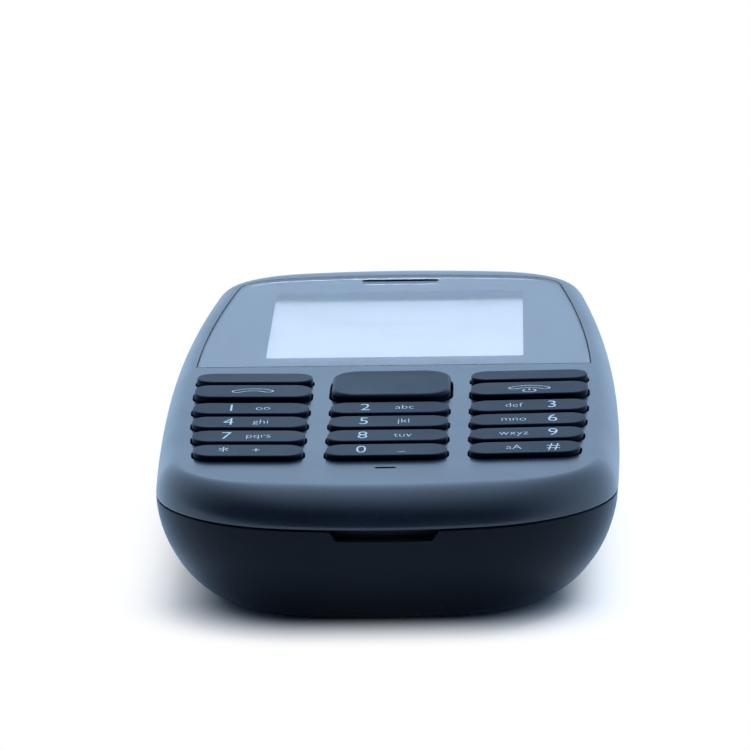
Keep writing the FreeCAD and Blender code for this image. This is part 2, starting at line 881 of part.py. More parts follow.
def display_flex():
    """The folded ribbon from the panel's near edge down to its plug on the board."""
    panel_low_y = panel_middle_y - panel_size[1] / 2
    start_z = tray_top_z() - panel_thickness / 2
    reach_y = panel_low_y - flex_reach
    half = flex_width / 2
    upper = box(-half, half, reach_y, panel_low_y, start_z, start_z + flex_thickness)
    plug_top = board_top_z + flex_plug_height
    bend_z = start_z + flex_thickness
    drop = box(-half, half, reach_y - flex_thickness, reach_y, plug_top - flex_thickness, bend_z)
    plug_low = reach_y - flex_plug_length
    plug_half = flex_plug_width / 2
    plug = box(-plug_half, plug_half, plug_low, reach_y, board_top_z, plug_top)
    return fused(upper, [drop, plug])


def mat_limits():
    """Near and far edge of the silicone mat."""
    low = star_row_y - digit_depth / 2 - key_flange - mat_border
    high = soft_row_y + soft_depth / 2 + smile(column_outer_x) + key_flange + mat_border
    return low, high


def skirt_size(grow):
    """Middle, width and length of the mat's skirt inside, grown all round by a distance."""
    low, high = mat_limits()
    side = mat_skirt_side_inset + mat_skirt - grow
    end = mat_skirt_end_inset + mat_skirt - grow
    return (low + high) / 2, 2 * (mat_half_width - side), high - low - 2 * end


def keypad_mat():
    """The silicone mat under the keys, with a nib over each dome and a skirt on the board."""
    low, high = mat_limits()
    middle, width, length = skirt_size(0.0)
    mat = rounded_box(0, middle, 2 * mat_half_width, high - low, mat_corner, mat_bottom_z, mat_top_z)
    opening = scroll_prism(scroll_gap + key_flange + part_gap, board_top_z - over, mat_top_z + over)
    skirt = frame_ring(0, middle, width, length, mat_skirt_corner, mat_skirt, board_top_z, mat_bottom_z)
    nibs = []
    for key in keys:
        x, y = key_centre(key)
        nibs.append(centred_box(x, y, nib_width, nib_width, dome_top_z, mat_bottom_z))
    return fused(mat.cut(opening), [skirt] + nibs)


def scroll_dome_places():
    """Middles of the five domes under the scroll key."""
    reach = scroll_nib_reach
    places = [(0.0, 0.0), (reach, 0.0), (-reach, 0.0), (0.0, reach), (0.0, -reach)]
    return [(x, scroll_middle_y + y) for x, y in places]


def dome(x, y):
    """One low eight-sided dome, standing on the film."""
    low = board_top_z + dome_film
    return many_sided(x, y, dome_radius, dome_side_count, low, low + dome_rise)


def dome_sheet():
    """The film of metal domes on the board, one dome under each nib."""
    middle, width, length = skirt_size(-fit_gap)
    top = board_top_z + dome_film
    film = rounded_box(0, middle, width, length, mat_skirt_corner, board_top_z, top)
    domes = [dome(x, y) for x, y in [key_centre(key) for key in keys] + scroll_dome_places()]
    hole = (led_size[1] + 2 * led_gap, led_size[0] + 2 * led_gap)
    holes = [centred_box(x, y, hole[0], hole[1], board_top_z - over, top) for x, y in led_places()]
    return fused(film, domes).cut(holes)


def led_places():
    """Middles of the keypad lights, between the columns."""
    return [(side * led_x, star_row_y + rows * row_pitch) for rows in led_row_counts for side in (-1, 1)]


def keypad_leds():
    """The small lights on the board that shine up between the keys."""
    width, length, height = led_size
    lights = [centred_box(x, y, length, width, board_top_z, board_top_z + height) for x, y in led_places()]
    return Part.makeCompound(lights)


def key_cap(key):
    """One key: a cap that stands proud of the face, on a flange below its hole."""
    top = face_z + key[4]
    levels = [
        (flange_top_z - slip_gap, -key_gap),
        (top - key_chamfer, -key_gap),
        (top, -key_gap - key_chamfer),
    ]
    cap = Part.makeLoft([key_ring(key, grow, z) for z, grow in levels], True, True)
    corners = key_corners(key, key_flange)
    flange = Part.Face(ring(corners, flange_bottom_z)).extrude(Vector(0, 0, key_flange_thickness))
    return fused(cap, [flange])


def scroll_levels():
    """Heights in the scroll key's stack, from its flange's top down to the pad's nibs and the plunger."""
    lean = math.tan(math.radians(scroll_tilt))
    border = scroll_gap + key_flange
    reach_x = scroll_half_width + border
    reach_y = scroll_depth / 2 + border
    corner_cut = (scroll_corner + border) * (2 - math.sqrt(2))
    flange_top = ceiling_z - lean * (reach_x + reach_y - corner_cut) - fit_gap
    flange_low = flange_top - scroll_flange_thickness
    pad_top = flange_low - lean * reach_x - fit_gap
    pad_low = pad_top - scroll_pad_thickness
    nib_low = dome_top_z + fit_gap
    plunger_top = pad_low - lean * plunger_radius - fit_gap
    return flange_top, flange_low, pad_top, pad_low, nib_low, plunger_top


def scroll_key():
    """The broad scroll key above the digits, with a softly rounded top edge."""
    flange_top, flange_low, pad_top, pad_low, nib_low, plunger_top = scroll_levels()
    top = face_z + scroll_rise
    levels = [(flange_top - slip_gap, 0.0), (top - scroll_edge, 0.0)]
    for degrees in scroll_edge_steps:
        turn = math.radians(degrees)
        levels.append((top - scroll_edge * (1 - math.sin(turn)), scroll_edge * (math.cos(turn) - 1)))
    cap = Part.makeLoft([scroll_ring(grow, z) for z, grow in levels], True, True)
    flange = scroll_prism(scroll_gap + key_flange, flange_low, flange_top)
    return fused(cap, [flange])


def scroll_pad():
    """The rocking pad under the scroll key: a ridge on top and a nib over each outer dome."""
    flange_top, flange_low, pad_top, pad_low, nib_low, plunger_top = scroll_levels()
    plate = scroll_prism(-scroll_pad_inset, pad_low, pad_top)
    length = scroll_depth - 2 * scroll_pad_inset - 2 * scroll_corner
    ridge = centred_box(0, scroll_middle_y, scroll_rib_width, length, pad_top, flange_low - slip_gap)
    nibs = []
    for x, y in scroll_dome_places()[1:]:
        nibs.append(centred_box(x, y, scroll_nib_width, scroll_nib_width, nib_low, pad_low))
    return fused(plate, [ridge] + nibs)


def scroll_plunger():
    """The centre plunger that the scroll key presses straight down."""
    plunger_top = scroll_levels()[-1]
    return post(0, scroll_middle_y, plunger_radius, dome_top_z + slip_gap, plunger_top)


def microphone():
    """The microphone on the board under its hole in the face."""
    width, length, height = mic_size
    return centred_box(0, mic_middle_y, width, length, board_top_z, board_top_z + height)


def microphone_boot():
    """The rubber tube that seals the microphone to its hole."""
    width, length, height = mic_size
    boot = centred_box(0, mic_middle_y, width, length, board_top_z + height, ceiling_z)
    hole = centred_box(0, mic_middle_y, mic_slot[0], boot_hole, board_top_z, face_z)
    return boot.cut(hole)


def circuit_board():
    """The main board, shaped to the body, with screw holes and a notch for the audio jack."""
    board = body_outline.plain_slab(board_inset, board_bottom_z, board_top_z)
    radius = screw_radius + fit_gap
    holes = [peg(x, y, radius, board_bottom_z - over, board_top_z + over) for x, y in screw_positions()]
    width, length, height = jack_size
    notch = box(
        jack_x - width / 2 - part_gap, jack_x + width / 2 + part_gap,
        jack_block_y - length - part_gap, body_length, board_bottom_z - over, board_top_z + over,
    )
    return board.cut(holes + [notch])


def shield_can():
    """The pressed metal can over the chips on the board's underside."""
    low = board_bottom_z - shield_height
    width, length = shield_size
    can = rounded_box(0, shield_middle_y, width, length, shield_corner, low, board_bottom_z)
    inner_width = width - 2 * shield_sheet
    inner_length = length - 2 * shield_sheet
    inside = centred_box(0, shield_middle_y, inner_width, inner_length, low + shield_sheet, board_top_z)
    return can.cut(inside)


def chips():
    """The processor, memory and radio chips inside the can."""
    blocks = []
    for width, length, height, x, y in chip_sizes:
        blocks.append(
            centred_box(x, shield_middle_y + y, width, length, board_bottom_z - height, board_bottom_z)
        )
    return Part.makeCompound(blocks)


def card_socket():
    """The socket that the phone's card slides into, open towards the battery."""
    width, length, height = card_size
    x, y = card_middle
    slot_low = board_bottom_z - height - 2 * card_clearance
    low = slot_low - card_floor
    socket = centred_box(x, y, width + 2 * card_wall, length + 2 * card_wall, low, board_bottom_z)
    slot = box(
        x - width / 2 - card_clearance, x + width / 2 + card_clearance,
        y - length, y + length / 2 + card_clearance, slot_low, board_bottom_z - card_clearance,
    )
    window_width, window_length = card_window
    window_y = y - card_window_shift
    window = centred_box(x, window_y, window_width, window_length, low - over, slot_low + slip_gap)
    return socket.cut([slot, window])


def battery_contacts():
    """The sprung contacts that press on the battery's end, in their housing on the board."""
    width, length = contact_size
    low_y = battery_high_y + battery_gap + bay_wall + part_gap
    housing = box(
        terminal_middle_x - width / 2, terminal_middle_x + width / 2,
        low_y, low_y + length, contact_bottom_z, board_bottom_z,
    )
    tip_y = battery_high_y + part_gap
    middle_z = battery_bottom_z + battery_thickness / 2
    blades = []
    for index in range(terminal_count):
        x = terminal_middle_x + (index - (terminal_count - 1) / 2) * terminal_pitch
        start = Vector(x - terminal_width / 2, low_y, middle_z - terminal_height / 2)
        tip = Vector(start.x, tip_y, middle_z)
        end = Vector(start.x, low_y, middle_z + terminal_height / 2)
        outer = Part.Arc(start, tip, end).toShape()
        back = Vector(0, contact_blade, 0)
        inner = Part.Arc(end + back, tip + back, start + back).toShape()
        joins = [
            Part.LineSegment(end, end + back).toShape(),
            Part.LineSegment(start + back, start).toShape(),
        ]
        face = Part.Face(Part.Wire([outer, joins[0], inner, joins[1]]))
        blades.append(face.extrude(Vector(terminal_width, 0, 0)))
    return fused(housing, blades)


def terminal_boxes(y0, y1, grow):
    """Blocks at the battery's three terminals, grown a little where they are pockets."""
    middle_z = battery_bottom_z + battery_thickness / 2
    blocks = []
    for index in range(terminal_count):
        x = terminal_middle_x + (index - (terminal_count - 1) / 2) * terminal_pitch
        half = terminal_width / 2 + grow
        tall = terminal_height / 2 + grow
        blocks.append(box(x - half, x + half, y0, y1, middle_z - tall, middle_z + tall))
    return blocks


def battery_block(y0, y1):
    """A length of the battery's round-edged section."""
    block = box(-battery_width / 2, battery_width / 2, y0, y1, battery_bottom_z, battery_top_z)
    long_edges = []
    for edge in block.Edges:
        if edge.BoundBox.YLength > (y1 - y0) / 2:
            long_edges.append(edge)
    return block.makeFillet(battery_edge, long_edges)


def battery_pack():
    """The battery's wrapped cell."""
    return battery_block(battery_low_y, battery_high_y - battery_cap_length)


def battery_cap():
    """The moulded end cap with pockets for the terminals."""
    cap = battery_block(battery_high_y - battery_cap_length, battery_high_y)
    return cap.cut(terminal_boxes(battery_high_y - terminal_depth, battery_high_y + over, 0.0))


def battery_terminals():
    """The battery's flat terminals, flush in its end."""
    inner_y = battery_high_y - terminal_depth
    return Part.makeCompound(terminal_boxes(inner_y, battery_high_y - slip_gap, 0.0))


def speaker_limits():
    """Lowest and highest level of the loudspeaker."""
    top = plate_bottom_z - fit_gap
    return top - speaker_size[2], top


def loudspeaker():
    """The loudspeaker, facing the slots in the back cover."""
    low, top = speaker_limits()
    x, y = speaker_middle
    width, length, height = speaker_size
    can = rounded_box(x, y, width, length, speaker_corner, low, top)
    deep = low + speaker_cone_depth
    rim = 2 * speaker_rim
    cone = rounded_box(x, y, width - rim, length - rim, speaker_corner, low - over, deep)
    cap_corner = speaker_corner / 2
    cap_low = low + part_gap
    cap = rounded_box(x, y, width - 2 * rim, length - 2 * rim, cap_corner, cap_low, deep + slip_gap)
    return fused(can.cut(cone), [cap])


def speaker_gasket():
    """The foam ring that seals the loudspeaker to the back cover."""
    low, top = speaker_limits()
    x, y = speaker_middle
    width = speaker_size[0] - 2 * speaker_seal
    length = speaker_size[1] - 2 * speaker_seal
    bottom = back_wall + speaker_cloth + part_gap
    return frame_ring(x, y, width, length, speaker_corner / 2, speaker_seal, bottom, low)


def vibration_motor():
    """The coin-shaped vibration motor in its pocket."""
    x, y = motor_middle
    top = plate_bottom_z - fit_gap
    return post(x, y, motor_radius, top - motor_thickness, top)


def audio_jack():
    """The headphone jack: a moulded block and nose with a long bore along the body."""
    width, length, height = jack_size
    low_y = jack_block_y - length
    x0 = jack_x - width / 2
    block = box(x0, x0 + width, low_y, jack_block_y, jack_z - height / 2, jack_z + height / 2)
    nose = along_y(jack_x, jack_z, jack_nose_radius, jack_block_y, port_nose_y)
    bore = along_y(jack_x, jack_z, jack_bore, low_y + jack_back_wall, port_nose_y + over)
    return fused(block, [nose]).cut(bore)


def usb_socket():
    """The charging socket: a sheet shell round a flat tongue, open at the top end."""
    width, length, height = usb_size
    x0 = usb_x - width / 2
    low_y = port_nose_y - length
    top = board_bottom_z
    shell = box(x0, x0 + width, low_y, port_nose_y, top - height, top)
    inside = box(
        x0 + usb_sheet, x0 + width - usb_sheet,
        low_y + usb_sheet, port_nose_y + over, top - height + usb_sheet, top - usb_sheet,
    )
    middle = top - height / 2
    tongue_width, tongue_height = usb_tongue_size
    tongue_half = tongue_width / 2
    tongue = box(
        usb_x - tongue_half, usb_x + tongue_half,
        low_y, port_nose_y - usb_tongue_setback, middle - tongue_height / 2, middle + tongue_height / 2,
    )
    return fused(shell.cut(inside), [tongue])


def antenna():
    """The antenna's folded metal strip under the frame's near end."""
    width, length = antenna_size
    top = plate_bottom_z - antenna_block_height
    sheet = centred_box(0, antenna_middle_y, width, length, top - antenna_sheet, top)
    slots = []
    step = width / (antenna_slot_count + 1)
    for index in range(antenna_slot_count):
        x = -width / 2 + (index + 1) * step
        y = antenna_middle_y + (antenna_slot if index % 2 else -antenna_slot)
        slots.append(centred_box(x, y, antenna_slot, length - antenna_slot, top - over, top + over))
    return sheet.cut(slots)


def mid_frame():
    """The moulded frame inside: rim, plate, battery bay, pockets and screw seats."""
    rim_top = seam_height + frame_rim_rise
    outer = body_outline.plain_slab(frame_inset, plate_bottom_z, rim_top)
    hollow = body_outline.plain_slab(frame_inset + frame_rim, plate_top_z, rim_top + over)
    frame = outer.cut(hollow)
    bay_width = battery_width + 2 * battery_gap
    bay_length = battery_length + 2 * battery_gap
    bay_low = battery_bottom_z + bay_lip
    bay_top = plate_bottom_z + slip_gap
    bay_y = battery_middle_y
    pieces = [frame_ring(0, bay_y, bay_width, bay_length, bay_corner, bay_wall, bay_low, bay_top)]
    x, y = speaker_middle
    low, top = speaker_limits()
    pieces.append(
        frame_ring(
            x, y, speaker_size[0] + 2 * part_gap, speaker_size[1] + 2 * part_gap, speaker_corner,
            chamber_wall, low + part_gap, plate_bottom_z + slip_gap,
        )
    )
    mx, my = motor_middle
    motor_low = plate_bottom_z - fit_gap - motor_thickness + part_gap
    pocket = peg(mx, my, motor_radius + part_gap + chamber_wall, motor_low, plate_bottom_z + slip_gap)
    pocket = pocket.cut(peg(mx, my, motor_radius + part_gap, motor_low - over, plate_bottom_z))
    pieces.append(pocket)
    block_low = plate_bottom_z - antenna_block_height
    width, length = antenna_size
    pieces.append(centred_box(0, antenna_middle_y, width, length, block_low, plate_bottom_z + slip_gap))
    for x, y in screw_positions():
        pieces.append(centred_box(x, y, boss_width, boss_width, plate_top_z - slip_gap, board_bottom_z))
    frame = fused(frame, pieces)
    return frame.cut(frame_openings())


def frame_openings():
    """The windows and notches of the frame."""
    cuts = []
    for x, y in screw_positions():
        cuts.append(peg(x, y, screw_radius + fit_gap, plate_bottom_z - over, board_top_z))
    width, length, height = card_size
    x, y = card_middle
    grow = 2 * (card_wall + part_gap)
    cuts.append(centred_box(x, y, width + grow, length + grow, plate_bottom_z - over, plate_top_z + over))
    width, length = contact_size
    low_y = battery_high_y + battery_gap
    cuts.append(
        box(
            terminal_middle_x - width / 2 - part_gap, terminal_middle_x + width / 2 + part_gap,
            low_y - slip_gap, low_y + bay_wall + 2 * part_gap + length, back_wall, plate_top_z + over,
        )
    )
    width, length, height = jack_size
    cuts.append(
        box(
            jack_x - width / 2 - part_gap, jack_x + width / 2 + part_gap,
            jack_block_y - length - part_gap, body_length, back_wall, board_top_z + over,
        )
    )
    width, length, height = usb_size
    cuts.append(
        box(
            usb_x - width / 2 - part_gap, usb_x + width / 2 + part_gap,
            port_nose_y - length - part_gap, body_length, back_wall, board_bottom_z + over,
        )
    )
    return cuts


def frame_screws():
    """The six screws that hold the frame, board and front cover together."""
    screws = []
    for x, y in screw_positions():
        shank = peg(x, y, screw_radius, plate_bottom_z - slip_gap, screw_end_z)
        head = peg(x, y, screw_head_radius, plate_bottom_z - screw_head_height, plate_bottom_z)
        screws.append(fused(head, [shank]))
    return Part.makeCompound(screws)


nodes = {
    "back_cover": back_cover,
    "speaker_mesh": speaker_mesh,
    "battery_pack": battery_pack,
    "battery_cap": battery_cap,
    "battery_terminals": battery_terminals,
    "front_cover": front_cover,
    "display_window": display_window,
    "window_tape": window_tape,
    "earpiece_mesh": earpiece_mesh,
    "earpiece_receiver": earpiece_receiver,
    "display_gasket": display_gasket,
    "display_panel": display_panel,
    "display_tray": display_tray,
    "display_flex": display_flex,
    "keypad_mat": keypad_mat,
    "dome_sheet": dome_sheet,
    "keypad_leds": keypad_leds,
    "microphone": microphone,
    "microphone_boot": microphone_boot,
    "circuit_board": circuit_board,
    "shield_can": shield_can,
    "chips": chips,
    "card_socket": card_socket,
    "battery_contacts": battery_contacts,
    "loudspeaker": loudspeaker,
    "speaker_gasket": speaker_gasket,
    "vibration_motor": vibration_motor,
    "audio_jack": audio_jack,
    "usb_socket": usb_socket,
    "antenna": antenna,
    "mid_frame": mid_frame,
    "frame_screws": frame_screws,
    "scroll_key": scroll_key,
    "scroll_pad": scroll_pad,
    "scroll_plunger": scroll_plunger,
}

os.makedirs("parts", exist_ok=True)
shapes = {name: make() for name, make in nodes.items()}
for key in keys:
    shapes[key[0]] = key_cap(key)
for name, shape in shapes.items():
    shape.exportStep("parts/" + name + ".step")
    print(name, len(shape.Solids), "solid(s), valid", shape.isValid(), "volume", round(shape.Volume, 2))
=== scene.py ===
"""Looks of a bar phone that lies on its back, face up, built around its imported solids.

Lengths are millimetres up to put_down, which turns each piece into metres. +X is the phone's right, +Y its
top end and +Z out of its face.
"""

import json
import math

import bmesh
import bpy
from mathutils import Matrix, Vector


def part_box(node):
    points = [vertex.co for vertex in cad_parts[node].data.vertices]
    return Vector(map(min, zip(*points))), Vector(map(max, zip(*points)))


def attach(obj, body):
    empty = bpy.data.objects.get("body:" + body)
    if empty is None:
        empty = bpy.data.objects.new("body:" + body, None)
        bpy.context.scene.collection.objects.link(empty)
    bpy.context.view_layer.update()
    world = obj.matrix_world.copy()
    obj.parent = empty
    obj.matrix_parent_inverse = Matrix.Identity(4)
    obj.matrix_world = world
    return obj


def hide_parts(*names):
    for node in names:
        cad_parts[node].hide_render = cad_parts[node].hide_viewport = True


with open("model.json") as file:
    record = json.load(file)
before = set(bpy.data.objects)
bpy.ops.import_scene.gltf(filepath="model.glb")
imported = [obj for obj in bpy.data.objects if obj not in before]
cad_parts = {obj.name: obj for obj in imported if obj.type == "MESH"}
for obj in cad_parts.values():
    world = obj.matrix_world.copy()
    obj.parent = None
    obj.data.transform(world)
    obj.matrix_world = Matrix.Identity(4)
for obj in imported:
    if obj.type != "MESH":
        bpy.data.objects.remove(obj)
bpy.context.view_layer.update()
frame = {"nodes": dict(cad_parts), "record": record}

MM = 0.001

# The body
LENGTH = 119.0
WIDTH = 49.02
HALF_LENGTH = LENGTH / 2
SEAM_Z = 10.6
FACE_Z = 14.4
SEAM_GAP = 0.14
# The covers' edges at the seam are eased: distance from the edge, and how far it is drawn in there
SEAM_EASE = ((0.12, 0.0), (0.035, 0.035), (0.0, 0.12))
BACK_WALL = 1.2
FRONT_WALL = 1.3
HULL_POWER = 1.77

# The window, its view and the sound slots; a slot's size is across the phone and along it
WINDOW_LOW_Y = 0.3
WINDOW_CORNER = 1.5
RECESS_Z = 13.25
RECESS_INSET = 0.2
PANE_INSET = 0.3
PANE_LOW_Z = 13.44
PANE_EASE = 0.06
PRINT_INSET = 0.34
PRINT_Z = (13.40, 13.43)
PRINT_CUT_Z = (13.0, 13.8)
PRINT_VIEW_CORNER = 0.5
VIEW_HALF_WIDTH = 14.4
VIEW_LOW_Y = 5.7
VIEW_HIGH_Y = 41.3
VIEW_CORNER = 0.8
EAR_Y = 46.6
EAR_SLOT = (9.0, 1.1)
EAR_CORNER = 0.5
EAR_EASE = 0.08
MIC_Y = -47.7
MIC_SLOT = (2.2, 0.6)
MIC_CORNER = 0.29
MIC_EASE = 0.06

# The scroll key
SCROLL_Y = -11.9
SCROLL_HALF = (6.4, 6.175)
SCROLL_CORNER = 3.0
SCROLL_RISE = 0.9
SCROLL_GAP = 0.22
SCROLL_EDGE = 0.5
SCROLL_FLANGE = 0.42
SCROLL_FLANGE_DEPTH = 0.45

# The other keys, in three columns whose rows rise towards both sides
KEY_GAP = 0.15
KEY_CORNER = 2.0
KEY_EDGE = 0.24
KEY_FLANGE = 0.2
KEY_FLANGE_Z = (12.3, 13.0)
KEY_FLANGE_CORNER = 0.3
ROW_PITCH = 6.5
STAR_ROW_Y = -41.95
CALL_ROW_Y = -14.8
SOFT_ROW_Y = -8.3
COLUMN_INNER_X = 8.46
COLUMN_OUTER_X = 21.41
# The outer edge of the keypad is widest here, and comes in by the square of the way from it over its bow
COLUMN_WIDEST_Y = -8.0
COLUMN_BOW = 960.0
CENTRE_HALF = 6.45
SMILE_RADIUS = 300.0
KEY_RIM = 0.12

# The back cover's openings
JACK_X, JACK_Z, JACK_RADIUS = -11.0, 7.9, 2.4
SOCKET_X, SOCKET_Z, SOCKET_WIDTH, SOCKET_HEIGHT = 10.2, 8.0, 9.0, 3.6
SOCKET_CORNER = 1.79
PORT_Y = (HALF_LENGTH - 12.0, HALF_LENGTH + 1.0)
SPEAKER_Y = 41.5
SPEAKER_SLOTS = 4
SPEAKER_PITCH = 1.9
SPEAKER_SLOT = (8.0, 0.9)
SPEAKER_CORNER = 0.44
# The nail notch's half outline: x and z from its lower edge up past the seam
NOTCH = ((4.5, 9.45), (4.9, 9.5), (5.62, 10.2), (5.7, 11.0))
NOTCH_Y = (-HALF_LENGTH - 1.0, -HALF_LENGTH + 2.4)
RIB_X = 8.0
RIB_THICKNESS = 0.8
RIB_Y = (-32.5, -2.5)
RIB_TOP_Z = 1.9
HOOK_Y = (-34.0, -2.0, 30.0)
HOOK_Z = (9.0, 9.8)
HOOK_HALF_LENGTH = 3.0

# Facets of the small quarter rounds at rims and at the window's edge
EASE_TURNS = 3
# Cutting shapes reach this far past the skin that they open, and start below the front cover
CUT_SPARE = 0.8
CUT_LOW_Z = 12.0
# Edges sharper than this stay creases
CREASE_DEGREES = 35.0


# Outlines


class Outline:
    """A plan of bowed sides and ends with rounded corners, every arc tangent to the next."""

    def __init__(self, half, widest_y, top, bottom):
        self.half = half
        self.widest_y = widest_y
        self.ends = (top, bottom)

    def arcs(self, index):
        """Centres and angles of the side, corner and end arc at one end, on the right."""
        reach, end_curve, corner, side_curve = self.ends[index]
        sign = 1 - 2 * index
        side_centre = Vector((self.half - 1 / side_curve, self.widest_y, 0))
        end_centre = Vector((0, sign * (reach - 1 / end_curve), 0))
        side_arm = 1 / side_curve - corner
        end_arm = 1 / end_curve - corner
        line = end_centre - side_centre
        span = line.length
        along = (side_arm**2 - end_arm**2 + span**2) / (2 * span)
        across = math.sqrt(side_arm**2 - along**2)
        unit = line / span
        foot = side_centre + unit * along
        normal = Vector((-unit.y, unit.x, 0))
        centre = max((foot + normal * across, foot - normal * across), key=lambda point: sign * point.y)
        side_way = centre - side_centre
        end_way = centre - end_centre
        first = math.atan2(side_way.y, side_way.x)
        second = math.atan2(end_way.y, end_way.x)
        last = sign * math.pi / 2
        return (side_centre, first), (centre, second - first), (end_centre, last - second)

    def side_x(self, y):
        """Half width at one place along the sides."""
        radius = 1 / self.ends[0 if y > self.widest_y else 1][3]
        return self.half - radius + math.sqrt(radius**2 - (y - self.widest_y) ** 2)


def mixed(first, second, share):
    """An outline part of the way from one to another."""

    def between(a, b):
        return a + (b - a) * share

    ends = [tuple(between(a, b) for a, b in zip(*pair)) for pair in zip(first.ends, second.ends)]
    return Outline(between(first.half, second.half), between(first.widest_y, second.widest_y), *ends)


# Each end is its reach, the curve of its end arc, its corner radius and the curve of its side arcs
BODY = Outline(
    WIDTH / 2, -10.7, (HALF_LENGTH, 1 / 52, 15.9, 1 / 573), (HALF_LENGTH, 1 / 52, 17.0, 1 / 844),
)
FACE = Outline(
    WIDTH / 2 - 2.5, -4.5,
    (HALF_LENGTH - 9.74, 1 / 75, 6.5, 1 / 375), (HALF_LENGTH - 4.6, 1 / 62, 10.0, 1 / 1333),
)
BASE = Outline(
    WIDTH / 2 - 8.2, -4.5,
    (HALF_LENGTH - 11.0, 1 / 52, 6.0, 1 / 800), (HALF_LENGTH - 6.5, 1 / 60, 10.3, 1 / 1400),
)
# Segments of each side, corner and end arc
ARC_STEPS = (9, 12, 8)


def hull_outline(z, wall):
    """The boat-shaped lower half's outline at a height, for a floor of one thickness."""
    depth = min(max((SEAM_Z - z) / (SEAM_Z - wall), 0.0), 1.0)
    return mixed(BODY, BASE, 1 - (1 - depth**HULL_POWER) ** (1 / HULL_POWER))


def hull_level(degrees, wall):
    """Height of the lower half's skin at one turn down its flank."""
    return SEAM_Z - (SEAM_Z - wall) * math.sin(math.radians(degrees)) ** (2 / HULL_POWER)


def shoulder_level(degrees, wall):
    """Height and outline of the rounded upper half at one turn up its shoulder."""
    turn = math.radians(degrees)
    return SEAM_Z + (FACE_Z - wall - SEAM_Z) * math.sin(turn), mixed(BODY, FACE, 1 - math.cos(turn))


def outline_ring(bm, outline, inset, z):
    """A closed ring of the outline, drawn in by a distance: its arcs are spun, then mirrored."""
    known_edges = set(bm.edges)
    known_verts = set(bm.verts)
    start = bm.verts.new((outline.half - inset, outline.widest_y, z))
    for index in range(2):
        tip = start
        for (centre, angle), steps in zip(outline.arcs(index), ARC_STEPS):
            middle = Vector((centre.x, centre.y, z))
            spun = bmesh.ops.spin(bm, geom=[tip], cent=middle, axis=(0, 0, 1), angle=angle, steps=steps)
            tip = [item for item in spun["geom_last"] if isinstance(item, bmesh.types.BMVert)][0]
        tip.co.x = 0.0
    half = [vert for vert in bm.verts if vert not in known_verts]
    half += [edge for edge in bm.edges if edge not in known_edges]
    bmesh.ops.mirror(bm, geom=half, matrix=Matrix.Identity(4), merge_dist=1e-4, axis="X")
    return [edge for edge in bm.edges if edge not in known_edges]


def round_corners(bm, corners, radius, segments):
    """Rounds corner points of one flat face."""
    bmesh.ops.bevel(
        bm, geom=corners, offset=radius, segments=segments, profile=0.5, affect="VERTICES", material=-1,
    )


def flat_ring(bm, corners, radius, z, segments=6):
    """A closed ring round a few corner points, each corner rounded, at one height."""
    known = set(bm.faces)
    face = bm.faces.new([bm.verts.new((x, y, z)) for x, y in corners])
    round_corners(bm, list(face.verts), radius, segments)
    return open_face(bm, known)


def open_face(bm, known):
    """The edges of the one face that has been added, with the face itself taken away."""
    face = [face for face in bm.faces if face not in known][0]
    edges = list(face.edges)
    bmesh.ops.delete(bm, geom=[face], context="FACES_ONLY")
    return edges


def join_rings(bm, rings):
    """The skin between each ring and the next."""
    for first, second in zip(rings, rings[1:]):
        bmesh.ops.bridge_loops(bm, edges=first + second)


def close_ring(bm, ring, steps=()):
    """A face across a ring, drawn in and sunk by steps where the surface goes on inside it."""
    face = bmesh.ops.contextual_create(bm, geom=ring)["faces"][0]
    for inset, rise in steps:
        bmesh.ops.inset_individual(bm, faces=[face], thickness=inset, depth=rise)


def closed_body(bm, rings, top_steps=()):
    """The skin through all rings, closed across the first and the last."""
    join_rings(bm, rings)
    close_ring(bm, rings[0])
    close_ring(bm, rings[-1], top_steps)


def quarter_round(top, radius, turns):
    """Heights up a quarter round that ends at the top, each with how far the edge has drawn in there."""
    levels = []
    for index in range(1, turns + 1):
        turn = math.pi / 2 * index / turns
        levels.append((top - radius * (1 - math.sin(turn)), radius * (1 - math.cos(turn))))
    return levels


def put_down(bm, name, material=None):
    """Turns a millimetre mesh into a piece in metres, with its normals outward and its creases kept."""
    bmesh.ops.remove_doubles(bm, verts=bm.verts, dist=1e-5)
    bmesh.ops.recalc_face_normals(bm, faces=bm.faces)
    bmesh.ops.scale(bm, vec=(MM, MM, MM), verts=bm.verts)
    mesh = bpy.data.meshes.new(name)
    bm.to_mesh(mesh)
    bm.free()
    mesh.shade_smooth()
    mesh.set_sharp_from_angle(angle=math.radians(CREASE_DEGREES))
    piece = bpy.data.objects.new(name, mesh)
    bpy.context.scene.collection.objects.link(piece)
    if material:
        mesh.materials.append(material)
    return piece


def cut(piece, cutter):
    """Takes one piece's shape out of another, and removes the cutting shape."""
    modifier = piece.modifiers.new("cut", "BOOLEAN")
    modifier.operation = "DIFFERENCE"
    modifier.solver = "EXACT"
    modifier.object = cutter
    bpy.context.view_layer.update()
    evaluated = piece.evaluated_get(bpy.context.evaluated_depsgraph_get())
    mesh = bpy.data.meshes.new_from_object(evaluated)
    old = piece.data
    piece.modifiers.clear()
    piece.data = mesh
    mesh.name = piece.name
    bpy.data.meshes.remove(old)
    bpy.data.objects.remove(cutter)


def crease(piece):
    """Smooth skin with sharp creases, the broad faces setting how it shades."""
    piece.data.shade_smooth()
    piece.data.set_sharp_from_angle(angle=math.radians(CREASE_DEGREES))
    weighting = piece.modifiers.new("even shading", "WEIGHTED_NORMAL")
    weighting.mode = "FACE_AREA"
    weighting.weight = 50
    weighting.keep_sharp = True


# Materials


def colour(code):
    """An sRGB hex colour as linear red, green, blue and alpha."""
    channels = [int(code[start : start + 2], 16) / 255 for start in (1, 3, 5)]
    return [c / 12.92 if c <= 0.04045 else ((c + 0.055) / 1.055) ** 2.4 for c in channels] + [1.0]


